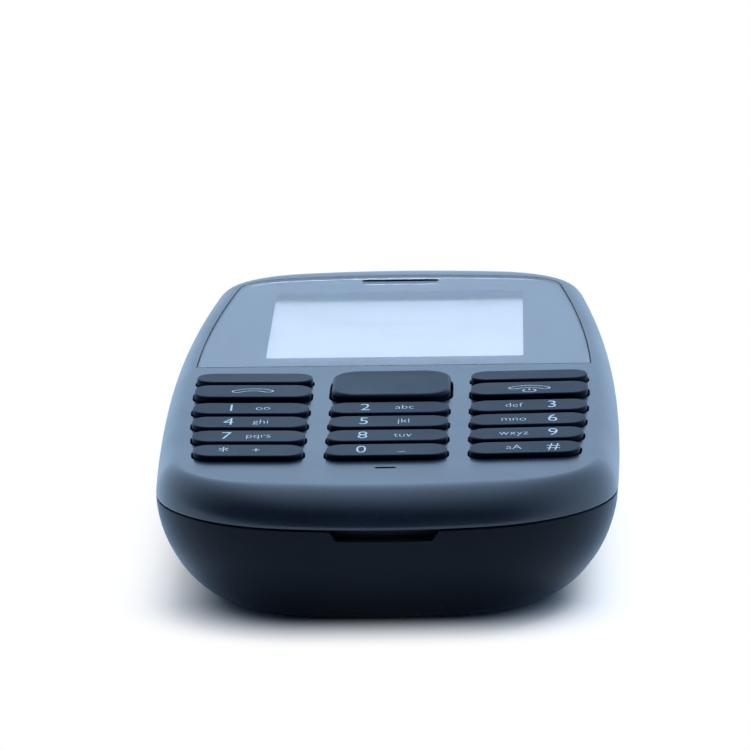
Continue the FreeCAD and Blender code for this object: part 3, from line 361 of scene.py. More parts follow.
def node(tree, kind, settings=None, **links):
    """Adds a node, with its settings, and its inputs as values or as another node's output.

    An input goes by its name, with _ for a space, or by i and its number.
    """
    made = tree.nodes.new(kind)
    for name, value in (settings or {}).items():
        setattr(made, name, value)
    for name, value in links.items():
        by_number = name[0] == "i" and name[1:].isdigit()
        socket = made.inputs[int(name[1:]) if by_number else name.replace("_", " ")]
        if isinstance(value, bpy.types.NodeSocket):
            tree.links.new(value, socket)
        else:
            socket.default_value = value
    return made


def material(name):
    """A material with an empty tree, its Principled shader and its output."""
    made = bpy.data.materials.new(name)
    made.use_nodes = True
    tree = made.node_tree
    tree.nodes.clear()
    shader = node(tree, "ShaderNodeBsdfPrincipled")
    output = node(tree, "ShaderNodeOutputMaterial")
    tree.links.new(shader.outputs[0], output.inputs["Surface"])
    return made, tree, shader


def ramp(tree, source, low, high, start=0.3, end=0.7):
    """A blend between two colours or values over part of a pattern's range."""
    made = node(tree, "ShaderNodeValToRGB", Fac=source)
    made.color_ramp.elements[0].position = start
    made.color_ramp.elements[1].position = end
    made.color_ramp.elements[0].color = low
    made.color_ramp.elements[1].color = high
    return made.outputs["Color"]


def grey(value):
    """A grey as a ramp's colour."""
    return [value, value, value, 1.0]


# Sizes of the faint clouds in a moulded piece's colour and of the patches that hands leave in its gloss
CLOUD_MM = 9.0
TOUCH_MM = 21.0


def moulded(name, low, high, roughness, grain_mm, depth_mm, specular=0.5, wear=0.06, coat=0.0, sheen=0.0):
    """Moulded plastic: a mould's fine spark texture, cloudy colour and handled patches in the gloss."""
    made, tree, shader = material(name)
    place = node(tree, "ShaderNodeTexCoord").outputs["Object"]
    cloud = node(tree, "ShaderNodeTexNoise", Vector=place, Scale=1 / (CLOUD_MM * MM), Detail=3.0)
    grain = node(tree, "ShaderNodeTexNoise", Vector=place, Scale=1 / (grain_mm * MM), Detail=2.0)
    touch = node(tree, "ShaderNodeTexNoise", Vector=place, Scale=1 / (TOUCH_MM * MM), Detail=4.0, Roughness=0.6)
    tree.links.new(ramp(tree, cloud.outputs[0], colour(low), colour(high)), shader.inputs["Base Color"])
    gloss = ramp(tree, touch.outputs[0], grey(roughness - wear), grey(roughness + wear))
    tree.links.new(gloss, shader.inputs["Roughness"])
    bump = node(tree, "ShaderNodeBump", Height=grain.outputs[0], Strength=1.0, Distance=depth_mm * MM)
    tree.links.new(bump.outputs[0], shader.inputs["Normal"])
    shader.inputs["Specular IOR Level"].default_value = specular
    shader.inputs["IOR"].default_value = 1.5
    shader.inputs["Coat Weight"].default_value = coat
    shader.inputs["Coat Roughness"].default_value = 0.25
    shader.inputs["Sheen Weight"].default_value = sheen
    shader.inputs["Sheen Roughness"].default_value = 0.35
    shader.inputs["Sheen Tint"].default_value = colour("#a9c6f0")
    return made


def metal(name, low, high, roughness, grain_mm):
    """Rolled or plated sheet: fine drawn lines in the gloss, a little cloudy."""
    made, tree, shader = material(name)
    place = node(tree, "ShaderNodeTexCoord").outputs["Object"]
    # The lines run along the phone and are about 17 times as long as they are wide
    stretch = node(tree, "ShaderNodeMapping", Vector=place)
    stretch.inputs["Scale"].default_value = (1.0, 0.06, 1.0)
    lines = node(tree, "ShaderNodeTexNoise", Vector=stretch.outputs[0], Scale=1 / (grain_mm * MM), Detail=2.0)
    cloud = node(tree, "ShaderNodeTexNoise", Vector=place, Scale=1 / (4 * MM), Detail=2.0)
    tree.links.new(ramp(tree, cloud.outputs[0], colour(low), colour(high)), shader.inputs["Base Color"])
    gloss = ramp(tree, lines.outputs[0], grey(roughness - 0.06), grey(roughness + 0.08))
    tree.links.new(gloss, shader.inputs["Roughness"])
    bump = node(tree, "ShaderNodeBump", Height=lines.outputs[0], Strength=1.0, Distance=0.004 * MM)
    tree.links.new(bump.outputs[0], shader.inputs["Normal"])
    shader.inputs["Metallic"].default_value = 1.0
    return made


# A wave texture of scale 1 has a band every 0.314 units
WAVE_PERIOD = 0.314


def crossed_bands(tree, place, pitch_mm):
    """A square lattice: bands across and along the phone, multiplied."""
    bands = []
    for axis in ("X", "Y"):
        wave = node(
            tree, "ShaderNodeTexWave", {"wave_type": "BANDS", "bands_direction": axis}, Vector=place,
            Scale=WAVE_PERIOD / (pitch_mm * MM), Distortion=0.0,
        )
        bands.append(wave.outputs["Fac"])
    return node(tree, "ShaderNodeMath", {"operation": "MULTIPLY"}, i0=bands[0], i1=bands[1])


def woven(name, low, high, thread_mm):
    """Fine dust cloth: two crossing threads."""
    made, tree, shader = material(name)
    place = node(tree, "ShaderNodeTexCoord").outputs["Object"]
    weave = crossed_bands(tree, place, thread_mm)
    tree.links.new(ramp(tree, weave.outputs[0], colour(low), colour(high)), shader.inputs["Base Color"])
    bump = node(tree, "ShaderNodeBump", Height=weave.outputs[0], Strength=1.0, Distance=0.05 * MM)
    tree.links.new(bump.outputs[0], shader.inputs["Normal"])
    shader.inputs["Roughness"].default_value = 0.85
    return made


# Polycarbonate blend, spark-eroded mould: a dark satin skin with a soft blue-grey sheen at low angles
face_plastic = moulded("satin_face_polycarbonate", "#0f1827", "#121d2d", 0.26, 0.35, 0.003, coat=0.7)
# The same plastic from a coarser mould: a drier satin on the wrap-round cover
back_plastic = moulded(
    "matte_back_polycarbonate", "#060a13", "#080d18", 0.3, 0.5, 0.006, specular=0.16, sheen=0.2,
)
# Hard-coated keys: darker and drier than the face, so they stand out as blue-black bars
key_plastic = moulded("hard_coated_key_plastic", "#07101d", "#0a1524", 0.3, 0.3, 0.004, specular=0.07)
# Glass-filled nylon, moulded, inside: dry dark grey with faint cloudy flow marks
inner_plastic = moulded("glass_filled_nylon", "#232529", "#33363b", 0.58, 0.8, 0.02)
# White reflector plastic, moulded, round the panel's light guide: clean and even
white_plastic = moulded("white_reflector_plastic", "#e4e5e2", "#f1f1ee", 0.4, 1.0, 0.01)
# Shrunk film on the battery's cell: pale grey, glossy, a little rumpled
battery_wrap = moulded("battery_shrink_film", "#a9adb3", "#bcc0c5", 0.28, 6.0, 0.05, wear=0.1)
# Milky silicone rubber of the key mat: soft, pale, a little waxy
soft_silicone = moulded("milky_silicone_rubber", "#b9c0c6", "#cad0d4", 0.5, 1.5, 0.01)
# Carbon-filled silicone of the microphone's boot: soft, black and dull, so that its slot looks dark
black_rubber = moulded("black_silicone_rubber", "#101112", "#18191b", 0.6, 0.8, 0.01, specular=0.2)
# Open-cell foam gasket: black, dry and pitted
foam = moulded("black_cell_foam", "#131313", "#242424", 0.95, 0.25, 0.12, specular=0.1)
# Double-sided black tape: dull with a faint tack shine
tape = moulded("black_adhesive_tape", "#161616", "#1f1f1f", 0.6, 0.4, 0.02, specular=0.3)
# Polyimide ribbon, laminated: smooth amber film with a sharp gloss
flex_film = moulded("amber_polyimide_ribbon", "#8a4c12", "#a8641c", 0.25, 0.8, 0.01)
# Solder-masked glass laminate: deep green lacquer, faintly uneven under its gloss
board_laminate = moulded("green_lacquered_laminate", "#0c3b24", "#12492e", 0.32, 0.9, 0.01, coat=0.3)
# Moulded epoxy of the chips: charcoal and slightly speckled
chip_black = moulded("chip_epoxy", "#1b1b1d", "#28282b", 0.5, 0.3, 0.01)
# Cast resin of the keypad's lights over their phosphor: glossy pale yellow
light_white = moulded("light_resin", "#e9e2b8", "#f4efd4", 0.2, 0.5, 0.005)
# Pressed nickel-plated steel of the can, sockets, domes and screws: bright, with fine drawn lines
sheet_steel = metal("nickel_plated_steel", "#b9bbbd", "#cfd1d2", 0.3, 0.25)
# Stamped gold-plated bronze of the contacts and antenna: warm yellow, with fine drawn lines
contact_metal = metal("gold_plated_bronze", "#c9993f", "#dcb45c", 0.24, 0.2)
# Woven polyester dust cloth behind the sound slots: black, with a fine square weave
cloth = woven("polyester_dust_cloth", "#08090b", "#1c1e22", 0.16)


def clear_window():
    """Clear hard-coated acrylic: colourless, glossy, with the faintest haze of wiping marks."""
    made, tree, shader = material("clear_coated_acrylic")
    place = node(tree, "ShaderNodeTexCoord").outputs["Object"]
    wipe = node(tree, "ShaderNodeTexNoise", Vector=place, Scale=1 / (14 * MM), Detail=5.0, Roughness=0.65)
    gloss = ramp(tree, wipe.outputs[0], grey(0.03), grey(0.10))
    tree.links.new(gloss, shader.inputs["Roughness"])
    tint = ramp(tree, wipe.outputs[0], colour("#f4f9ff"), colour("#fbfdff"))
    tree.links.new(tint, shader.inputs["Base Color"])
    shader.inputs["Transmission Weight"].default_value = 1.0
    shader.inputs["IOR"].default_value = 1.49
    return made


def printed_border():
    """Black ink printed on the back of the window: deep blue-black, very slightly uneven."""
    made, tree, shader = material("black_back_print")
    place = node(tree, "ShaderNodeTexCoord").outputs["Object"]
    mottle = node(tree, "ShaderNodeTexNoise", Vector=place, Scale=1 / (0.6 * MM), Detail=2.0)
    ink = ramp(tree, mottle.outputs[0], colour("#0b1220"), colour("#101929"))
    tree.links.new(ink, shader.inputs["Base Color"])
    shader.inputs["Roughness"].default_value = 0.6
    shader.inputs["Specular IOR Level"].default_value = 0.15
    return made


def lit_panel():
    """A lit liquid-crystal panel: cool white light, very slightly uneven, and a faint pixel grid."""
    made, tree, shader = material("lit_display_panel")
    place = node(tree, "ShaderNodeTexCoord").outputs["Object"]
    # Pixels are 0.22 mm; the grid is drawn at 0.44 mm so that it shows
    lattice = crossed_bands(tree, place, 0.44)
    cloud = node(tree, "ShaderNodeTexNoise", Vector=place, Scale=1 / (30 * MM), Detail=1.0)
    shade = node(tree, "ShaderNodeMath", {"operation": "ADD"}, i0=lattice.outputs[0], i1=cloud.outputs[0])
    light = ramp(tree, shade.outputs[0], colour("#dbe7fb"), colour("#e6f1ff"), 0.2, 1.4)
    tree.links.new(light, shader.inputs["Emission Color"])
    shader.inputs["Emission Strength"].default_value = 0.85
    shader.inputs["Base Color"].default_value = colour("#20262e")
    shader.inputs["Roughness"].default_value = 0.3
    return made


def legend_ink():
    """White lacquer under the keys' clear coat, cut by laser: pale, faintly blue, a little worn."""
    made, tree, shader = material("white_legend_lacquer")
    place = node(tree, "ShaderNodeTexCoord").outputs["Object"]
    worn = node(tree, "ShaderNodeTexNoise", Vector=place, Scale=1 / (0.5 * MM), Detail=2.0)
    ink = ramp(tree, worn.outputs[0], colour("#7f95a4"), colour("#adc2cf"))
    tree.links.new(ink, shader.inputs["Base Color"])
    shader.inputs["Roughness"].default_value = 0.45
    return made


window_clear = clear_window()
border_print = printed_border()
screen_glass = lit_panel()
legend_white = legend_ink()

FINISHES = {
    "back_plastic": back_plastic,
    "face_plastic": face_plastic,
    "key_plastic": key_plastic,
    "window_clear": window_clear,
    "screen_glass": screen_glass,
    "inner_plastic": inner_plastic,
    "white_plastic": white_plastic,
    "battery_wrap": battery_wrap,
    "soft_silicone": soft_silicone,
    "foam": foam,
    "tape": tape,
    "cloth": cloth,
    "flex_film": flex_film,
    "board_laminate": board_laminate,
    "chip_black": chip_black,
    "sheet_steel": sheet_steel,
    "contact_metal": contact_metal,
    "light_white": light_white,
}
for subpart in frame["record"]["subparts"]:
    solid = frame["nodes"][subpart["node"]]
    solid.data.materials.clear()
    solid.data.materials.append(FINISHES[subpart["material_slot"]])
frame["nodes"]["microphone_boot"].data.materials[0] = black_rubber


# Covers


def hull_skin(bm):
    """The wrap-round cover: outer skin from its flat base up to the seam, over its edge and down inside."""
    rings = []
    for degrees in (*range(90, 11, -6), 7):
        z = hull_level(degrees, 0.0)
        rings.append(outline_ring(bm, hull_outline(z, 0.0), 0.0, z))
    top = SEAM_Z - SEAM_GAP / 2
    for drop, inset in SEAM_EASE:
        rings.append(outline_ring(bm, hull_outline(top - drop, 0.0), inset, top - drop))
    for z in [top] + [hull_level(degrees, BACK_WALL) for degrees in (*range(14, 85, 10), 90)]:
        rings.append(outline_ring(bm, hull_outline(z, BACK_WALL), BACK_WALL, z))
    join_rings(bm, rings)
    # A narrow rim inside each flat end keeps its shading flat
    close_ring(bm, rings[0], [(0.3, 0.0)])
    close_ring(bm, rings[-1], [(0.3, 0.0)])


def shoulder_skin(bm):
    """The front cover: from the seam up its rounded shoulder to the flat face, and back down inside."""
    low = SEAM_Z + SEAM_GAP / 2
    rings = []
    for rise, inset in SEAM_EASE[::-1]:
        turn = math.asin((low + rise - SEAM_Z) / (FACE_Z - SEAM_Z))
        z, outline = shoulder_level(math.degrees(turn), 0.0)
        rings.append(outline_ring(bm, outline, inset, z))
    for degrees in range(6, 91, 6):
        z, outline = shoulder_level(degrees, 0.0)
        rings.append(outline_ring(bm, outline, 0.0, z))
    inner = []
    for degrees in (1.5, 12, 24, 36, 48, 60, 72, 90):
        z, outline = shoulder_level(degrees, FRONT_WALL)
        inner.append(outline_ring(bm, outline, FRONT_WALL, z))
    join_rings(bm, inner[::-1] + rings)
    close_ring(bm, rings[-1], [(0.06, 0.0)])
    close_ring(bm, inner[-1])


def hole(bm, corners, radius, low, high, flare, segments=6):
    """A cutting prism with rounded corners that flares where it leaves the upper surface, for an eased rim."""
    levels = [(low, 0.0), (high - flare, 0.0)]
    levels += quarter_round(high, flare, EASE_TURNS if flare else 0)
    levels.append((high + CUT_SPARE, flare))
    rings = []
    middle_x = sum(x for x, y in corners) / len(corners)
    middle_y = sum(y for x, y in corners) / len(corners)
    for z, grow in levels:
        grown = []
        for x, y in corners:
            grown.append((x + math.copysign(grow, x - middle_x), y + math.copysign(grow, y - middle_y)))
        rings.append(flat_ring(bm, grown, radius + grow, z, segments))
    closed_body(bm, rings)


def rectangle(x, y, half_x, half_y):
    """Corner points of a rectangle."""
    left, right, low, high = x - half_x, x + half_x, y - half_y, y + half_y
    return [(left, low), (right, low), (right, high), (left, high)]


def middle_hole(bm, y, size, radius, low, high, flare=0.0, segments=6):
    """A hole on the middle line of the phone, as wide across it and as high along it as its size says."""
    hole(bm, rectangle(0, y, size[0] / 2, size[1] / 2), radius, low, high, flare, segments)


def view_hole(bm, inset, radius, low, high):
    """The hole that shows the screen, drawn in all round."""
    half_height = (VIEW_HIGH_Y - VIEW_LOW_Y) / 2 - inset
    middle_y = (VIEW_LOW_Y + VIEW_HIGH_Y) / 2
    hole(bm, rectangle(0, middle_y, VIEW_HALF_WIDTH - inset, half_height), radius, low, high, 0.0)


def smile(x):
    """How far the rows of keys rise towards the top end at one place across."""
    return SMILE_RADIUS - math.sqrt(SMILE_RADIUS**2 - x**2)


def column_edge(y):
    """The keypad's outer edge at one place along the body."""
    return COLUMN_OUTER_X - (y - COLUMN_WIDEST_Y) ** 2 / COLUMN_BOW


class Key:
    """A key in the left (-1), middle (0) or right (1) column, with its depth along the phone."""

    def __init__(self, name, column, y, depth, rise):
        self.name = name
        self.column = column
        self.y = y
        self.depth = depth
        self.rise = rise


KEYS = [
    Key("left_soft_key", -1, SOFT_ROW_Y, 4.8, 0.7),
    Key("right_soft_key", 1, SOFT_ROW_Y, 4.8, 0.7),
    Key("call_key", -1, CALL_ROW_Y, 6.2, 0.7),
    Key("end_key", 1, CALL_ROW_Y, 6.2, 0.7),
]
for row, names in enumerate((("star", "0", "hash"), ("7", "8", "9"), ("4", "5", "6"), ("1", "2", "3"))):
    for column, name in zip((-1, 0, 1), names):
        KEYS.append(Key("key_" + name, column, STAR_ROW_Y + row * ROW_PITCH, 5.5, 0.55))


def key_corners(key, grow):
    """The four corners of a key's hole, grown all round by a distance."""
    low_y = key.y - key.depth / 2 - grow
    high_y = key.y + key.depth / 2 + grow
    if key.column == 0:
        low = high = (-CENTRE_HALF - grow, CENTRE_HALF + grow)
    elif key.column > 0:
        low = (COLUMN_INNER_X - grow, column_edge(low_y) + grow)
        high = (COLUMN_INNER_X - grow, column_edge(high_y) + grow)
    else:
        low = (-column_edge(low_y) - grow, grow - COLUMN_INNER_X)
        high = (-column_edge(high_y) - grow, grow - COLUMN_INNER_X)
    corners = ((low[0], low_y), (low[1], low_y), (high[1], high_y), (high[0], high_y))
    return [(x, level + smile(x)) for x, level in corners]


def window_ring(bm, inset, z):
    """The window's outline, drawn in from the flat of the face, cut straight below the screen."""
    known = set(bm.faces)
    edges = outline_ring(bm, FACE, inset, z)
    face = bmesh.ops.contextual_create(bm, geom=edges)["faces"][0]
    low = WINDOW_LOW_Y + inset
    parts = [face] + list(face.edges) + list(face.verts)
    bmesh.ops.bisect_plane(bm, geom=parts, plane_co=(0, low, 0), plane_no=(0, -1, 0), clear_outer=True)
    face = [face for face in bm.faces if face not in known][0]
    corners = [vert for vert in face.verts if abs(vert.co.y - low) < 1e-4]
    round_corners(bm, corners, WINDOW_CORNER, 8)
    return open_face(bm, known)


def window_body(bm, inset, low, high, ease):
    """A slab with the window's outline and an eased upper edge."""
    levels = [(low, 0.0), (high - ease, 0.0)]
    levels += quarter_round(high, ease, EASE_TURNS if ease else 0)
    rings = [window_ring(bm, inset + drawn, z) for z, drawn in levels]
    closed_body(bm, rings, [(0.05, 0.0)] if ease else ())


def front_cover():
    """The front cover with its window recess, key holes and sound slots."""
    bm = bmesh.new()
    shoulder_skin(bm)
    cover = put_down(bm, "front_shell", material=face_plastic)
    bm = bmesh.new()
    closed_body(bm, [window_ring(bm, RECESS_INSET, z) for z in (RECESS_Z, FACE_Z + CUT_SPARE)])
    cut(cover, put_down(bm, "recess_shape"))
    bm = bmesh.new()
    for key in KEYS:
        hole(bm, key_corners(key, 0.0), KEY_CORNER, CUT_LOW_Z, FACE_Z, KEY_RIM)
    scroll_hole = [2 * (half + SCROLL_GAP) for half in SCROLL_HALF]
    middle_hole(bm, SCROLL_Y, scroll_hole, SCROLL_CORNER + SCROLL_GAP, CUT_LOW_Z, FACE_Z, KEY_RIM, 10)
    middle_hole(bm, MIC_Y, MIC_SLOT, MIC_CORNER, CUT_LOW_Z, FACE_Z, MIC_EASE)
    cut(cover, put_down(bm, "hole_shapes"))
    bm = bmesh.new()
    view_hole(bm, 0.0, VIEW_CORNER, CUT_LOW_Z, RECESS_Z + 0.35)
    middle_hole(bm, EAR_Y, EAR_SLOT, EAR_CORNER, CUT_LOW_Z, RECESS_Z + 0.35)
    cut(cover, put_down(bm, "view_shape"))
    crease(cover)
    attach(cover, "handset")
    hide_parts("front_cover")


def bar(bm, low, high):
    """A straight block between two corners."""
    made = bmesh.ops.create_cube(bm, size=1.0)["verts"]
    bmesh.ops.scale(bm, vec=[b - a for a, b in zip(low, high)], verts=made)
    bmesh.ops.translate(bm, vec=[(a + b) / 2 for a, b in zip(low, high)], verts=made)


def tube(bm, x, z, radius, low_y, high_y):
    """A round bar along the body."""
    made = bmesh.ops.create_cone(
        bm, cap_ends=True, segments=48, radius1=radius, radius2=radius, depth=high_y - low_y,
    )["verts"]
    bmesh.ops.rotate(bm, cent=(0, 0, 0), matrix=Matrix.Rotation(math.pi / 2, 3, "X"), verts=made)
    bmesh.ops.translate(bm, vec=(x, (low_y + high_y) / 2, z), verts=made)


def back_cover():
    """The wrap-round back cover with its nail notch, ports, speaker slots, ribs and hooks."""
    bm = bmesh.new()
    hull_skin(bm)
    cover = put_down(bm, "back_shell", material=back_plastic)
    # Nail notch: wider at the seam, with eased lower corners
    bm = bmesh.new()
    notch = []
    for y in NOTCH_Y:
        points = [(-x, z) for x, z in NOTCH[::-1]] + list(NOTCH)
        verts = [bm.verts.new((x, y, z)) for x, z in points]
        notch.append([bm.edges.new((a, b)) for a, b in zip(verts, verts[1:] + verts[:1])])
    closed_body(bm, notch)
    cut(cover, put_down(bm, "notch_shape"))
    bm = bmesh.new()
    tube(bm, JACK_X, JACK_Z, JACK_RADIUS, *PORT_Y)
    for index in range(SPEAKER_SLOTS):
        y = SPEAKER_Y + (index - (SPEAKER_SLOTS - 1) / 2) * SPEAKER_PITCH
        middle_hole(bm, y, SPEAKER_SLOT, SPEAKER_CORNER, -1.0, BACK_WALL + 1.0)
    cut(cover, put_down(bm, "port_shapes"))
    # The socket's opening is drawn lying flat, then y and z change places
    bm = bmesh.new()
    opening = rectangle(SOCKET_X, SOCKET_Z, SOCKET_WIDTH / 2, SOCKET_HEIGHT / 2)
    closed_body(bm, [flat_ring(bm, opening, SOCKET_CORNER, y, 10) for y in PORT_Y])
    swap = Matrix(((1, 0, 0), (0, 0, 1), (0, 1, 0)))
    bmesh.ops.rotate(bm, cent=(0, 0, 0), matrix=swap, verts=bm.verts)
    cut(cover, put_down(bm, "socket_shape"))
    crease(cover)
    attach(cover, "back_cover")
    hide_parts("back_cover")
    bm = bmesh.new()
    for side in (-1, 1):
        left = side * RIB_X - RIB_THICKNESS / 2
        bar(bm, (left, RIB_Y[0], BACK_WALL - 0.05), (left + RIB_THICKNESS, RIB_Y[1], RIB_TOP_Z))
        for y in HOOK_Y:
            # A hook stands 0.7 out of the wall and is sunk 0.5 into it
            wall_x = hull_outline(HOOK_Z[1], BACK_WALL).side_x(y) - BACK_WALL
            low, high = sorted((side * (wall_x - 0.7), side * (wall_x + 0.5)))
            bar(bm, (low, y - HOOK_HALF_LENGTH, HOOK_Z[0]), (high, y + HOOK_HALF_LENGTH, HOOK_Z[1]))
    ribs = put_down(bm, "cover_ribs_and_hooks", material=back_plastic)
    soften = ribs.modifiers.new("eased edges", "BEVEL")
    soften.width = 0.12 * MM
    soften.segments = 2
    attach(ribs, "back_cover")


# Window and screen


def window():
    """The clear window over its printed border, with the earpiece slot."""
    bm = bmesh.new()
    window_body(bm, PANE_INSET, PANE_LOW_Z, FACE_Z, PANE_EASE)
    pane = put_down(bm, "window_pane", material=window_clear)
    bm = bmesh.new()
    middle_hole(bm, EAR_Y, EAR_SLOT, EAR_CORNER + 0.04, PRINT_CUT_Z[0], FACE_Z, EAR_EASE, 8)
    cut(pane, put_down(bm, "ear_shape"))
    crease(pane)
    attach(pane, "handset")
    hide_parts("display_window")
    bm = bmesh.new()
    window_body(bm, PRINT_INSET, *PRINT_Z, 0.0)
    border = put_down(bm, "window_border_print", material=border_print)
    bm = bmesh.new()
    view_hole(bm, 0.1, PRINT_VIEW_CORNER, *PRINT_CUT_Z)
    middle_hole(bm, EAR_Y, EAR_SLOT, EAR_CORNER, *PRINT_CUT_Z)
    cut(border, put_down(bm, "border_view_shape"))
    crease(border)
    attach(border, "handset")


def screen():
    """The panel's lit face, a thin sheet of glass on the display panel."""
    low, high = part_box("display_panel")
    bm = bmesh.new()
    bar(bm, low / MM, high / MM)
    panel = put_down(bm, "lit_panel", material=screen_glass)
    soften = panel.modifiers.new("ground edges", "BEVEL")
    soften.width = 0.1 * MM
    soften.segments = 2
    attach(panel, "handset")
    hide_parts("display_panel")


# Keys


def key_cap(key):
    """One key: flange, upright flank and a softly rounded top edge."""
    top = FACE_Z + key.rise
    bm = bmesh.new()
    levels = [(KEY_FLANGE_Z[1] - 0.05, 0.0), (top - KEY_EDGE, 0.0)] + quarter_round(top, KEY_EDGE, 5)
    rings = []
    for z, drawn in levels:
        grow = -KEY_GAP - drawn
        rings.append(flat_ring(bm, key_corners(key, grow), KEY_CORNER + grow, z))
    closed_body(bm, rings, [(0.1, 0.0)])
    flange = key_corners(key, KEY_FLANGE)
    closed_body(bm, [flat_ring(bm, flange, KEY_FLANGE_CORNER, z, 2) for z in KEY_FLANGE_Z])
    cap = put_down(bm, key.name + "_cap", material=key_plastic)
    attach(cap, key.name)
    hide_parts(key.name)


def scroll_ring(bm, grow, z, segments):
    """The scroll key's outline, grown all round by a distance."""
    corners = rectangle(0, SCROLL_Y, SCROLL_HALF[0] + grow, SCROLL_HALF[1] + grow)
    return flat_ring(bm, corners, SCROLL_CORNER + grow, z, segments)


def scroll_cap():
    """The broad scroll key: one smooth pad with a softly rounded edge and a slight dish."""
    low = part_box("scroll_key")[0].z / MM
    top = FACE_Z + SCROLL_RISE
    bm = bmesh.new()
    levels = [(low + 0.4, 0.0), (top - SCROLL_EDGE, 0.0)] + quarter_round(top, SCROLL_EDGE, 6)
    rings = [scroll_ring(bm, -drawn, z, 10) for z, drawn in levels]
    # The last two steps sink the middle into a dish
    closed_body(bm, rings, [(0.2, 0.0), (0.7, -0.02), (0.9, -0.03)])
    closed_body(bm, [scroll_ring(bm, SCROLL_FLANGE, z, 8) for z in (low, low + SCROLL_FLANGE_DEPTH)])
    cap = put_down(bm, "scroll_key_cap", material=key_plastic)
    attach(cap, "scroll_key")
    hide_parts("scroll_key")


LEGENDS = {
    "key_1": ("1", "oo"),
    "key_2": ("2", "abc"),
    "key_3": ("3", "def"),
    "key_4": ("4", "ghi"),
    "key_5": ("5", "jkl"),
    "key_6": ("6", "mno"),
    "key_7": ("7", "pqrs"),
    "key_8": ("8", "tuv"),
    "key_9": ("9", "wxyz"),
    "key_0": ("0", "_"),
    "key_star": ("*", "+"),
    "key_hash": ("#", "aA"),
}
INK_THICKNESS = 0.012
# The phone's lettering is narrow and tall, in thin strokes
NARROW, TALL = 0.66, 1.2
THINNED = 0.035
# These would break up or vanish if they were thinned
WHOLE_SIGNS = "*+_"
NUMBER_SIZE = 3.7
LETTER_SIZE = 2.3
# Where the number and the letters stand in each column
LEGEND_X = {-1: (-16.9, -13.5), 0: (-2.6, 1.6), 1: (17.3, 13.2)}
# The star is drawn at the top of its line, so it is let down to the middle
STAR_DROP = 0.5
# The receiver mark: its middle, stroke, how far its centre lies below, and its two arcs' radii
MARK_X = 14.9
MARK_STROKE = 0.16
MARK_DROP = 1.9
MARK_OUTER, MARK_INNER = 2.9, 1.9


def lettering(words, size, x, y, z):
    """Flat raised letters, made a mesh before they are put in place."""
    curve = bpy.data.curves.new("letters", "FONT")
    curve.body = words
    curve.size = size
    curve.align_x = "CENTER"
    curve.align_y = "CENTER"
    curve.extrude = INK_THICKNESS / 2
    curve.offset = 0.0 if words in WHOLE_SIGNS else -THINNED
    curve.resolution_u = 3
    holder = bpy.data.objects.new("letters", curve)
    bpy.context.scene.collection.objects.link(holder)
    bpy.context.view_layer.update()
    mesh = bpy.data.meshes.new_from_object(holder.evaluated_get(bpy.context.evaluated_depsgraph_get()))
    bpy.data.objects.remove(holder)
    bpy.data.curves.remove(curve)
    shape = Matrix.Diagonal((NARROW, TALL, 1.0, 1.0))
    mesh.transform(Matrix.Translation((x, y, z + INK_THICKNESS / 2)) @ shape)
    return mesh


def legend(key):
    """A key's number beside its letters, in the order that each column has."""
    top = FACE_Z + key.rise
    bm = bmesh.new()
    for words, size, x in zip(LEGENDS[key.name], (NUMBER_SIZE, LETTER_SIZE), LEGEND_X[key.column]):
        drop = STAR_DROP if words == "*" else 0.0
        mesh = lettering(words, size, x, key.y + smile(x) - drop, top)
        bm.from_mesh(mesh)
        bpy.data.meshes.remove(mesh)
    ink = put_down(bm, key.name + "_legend", material=legend_white)
    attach(ink, key.name)


def arc_strip(bm, x, y, z, radius, start, turn, steps=18):
    """A flat curved stroke: a short line spun round a centre and given a little thickness."""
    first = bm.verts.new((x + radius - MARK_STROKE / 2, y, z))
    second = bm.verts.new((x + radius + MARK_STROKE / 2, y, z))
    edge = bm.edges.new((first, second))
    known = set(bm.faces)
    bmesh.ops.rotate(
        bm, cent=(x, y, z), matrix=Matrix.Rotation(start, 3, "Z"), verts=[first, second],
    )
    bmesh.ops.spin(bm, geom=[first, second, edge], cent=(x, y, z), axis=(0, 0, 1), angle=turn, steps=steps)
    faces = [face for face in bm.faces if face not in known]
    bmesh.ops.solidify(bm, geom=faces, thickness=-INK_THICKNESS)


def handset_mark(name, with_power):
    """The outline of a receiver on the call or end key, the end key's with a small power mark."""
    key = [key for key in KEYS if key.name == name][0]
    x = key.column * MARK_X
    y = key.y + smile(x)
    top = FACE_Z + key.rise
    bm = bmesh.new()
    quarter = math.pi / 4
    for radius in (MARK_OUTER, MARK_INNER):
        arc_strip(bm, x, y - MARK_DROP, top, radius, quarter, 2 * quarter, 16)
    middle = (MARK_OUTER + MARK_INNER) / 2
    for side in (-1, 1):
        bend_x = x + side * middle * math.sin(quarter)
        bend_y = y - MARK_DROP + middle * math.cos(quarter)
        arc_strip(bm, bend_x, bend_y, top, (MARK_OUTER - MARK_INNER) / 2, -3 * quarter * side, math.pi)
    if with_power:
        arc_strip(bm, x, y - 1.4, top, 0.7, math.radians(120), math.radians(300))
        bar(bm, (x - MARK_STROKE / 2, y - 1.3, top), (x + MARK_STROKE / 2, y - 0.5, top + INK_THICKNESS))
    ink = put_down(bm, name + "_mark", material=legend_white)
    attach(ink, name)


back_cover()
front_cover()
window()
screen()
for key in KEYS:
    key_cap(key)
    if key.name in LEGENDS:
        legend(key)
scroll_cap()
handset_mark("call_key", False)
handset_mark("end_key", True)


# Floor, light and camera

# What the phone's skin mirrors, and the way towards its brightest part
SKY_BLUE = "#bcdcff"
BRIGHT_SIDE = (0.25, 0.95, 0.12)
# The floor's shadow fades between two distances from a rectangle inside the phone's foot
FOOT_CORE = (8.3, 45.0)
SHADOW_REACH = (8.0, 21.0)
FLOOR_HALF = 2500.0
FLOOR_DROP = 0.05
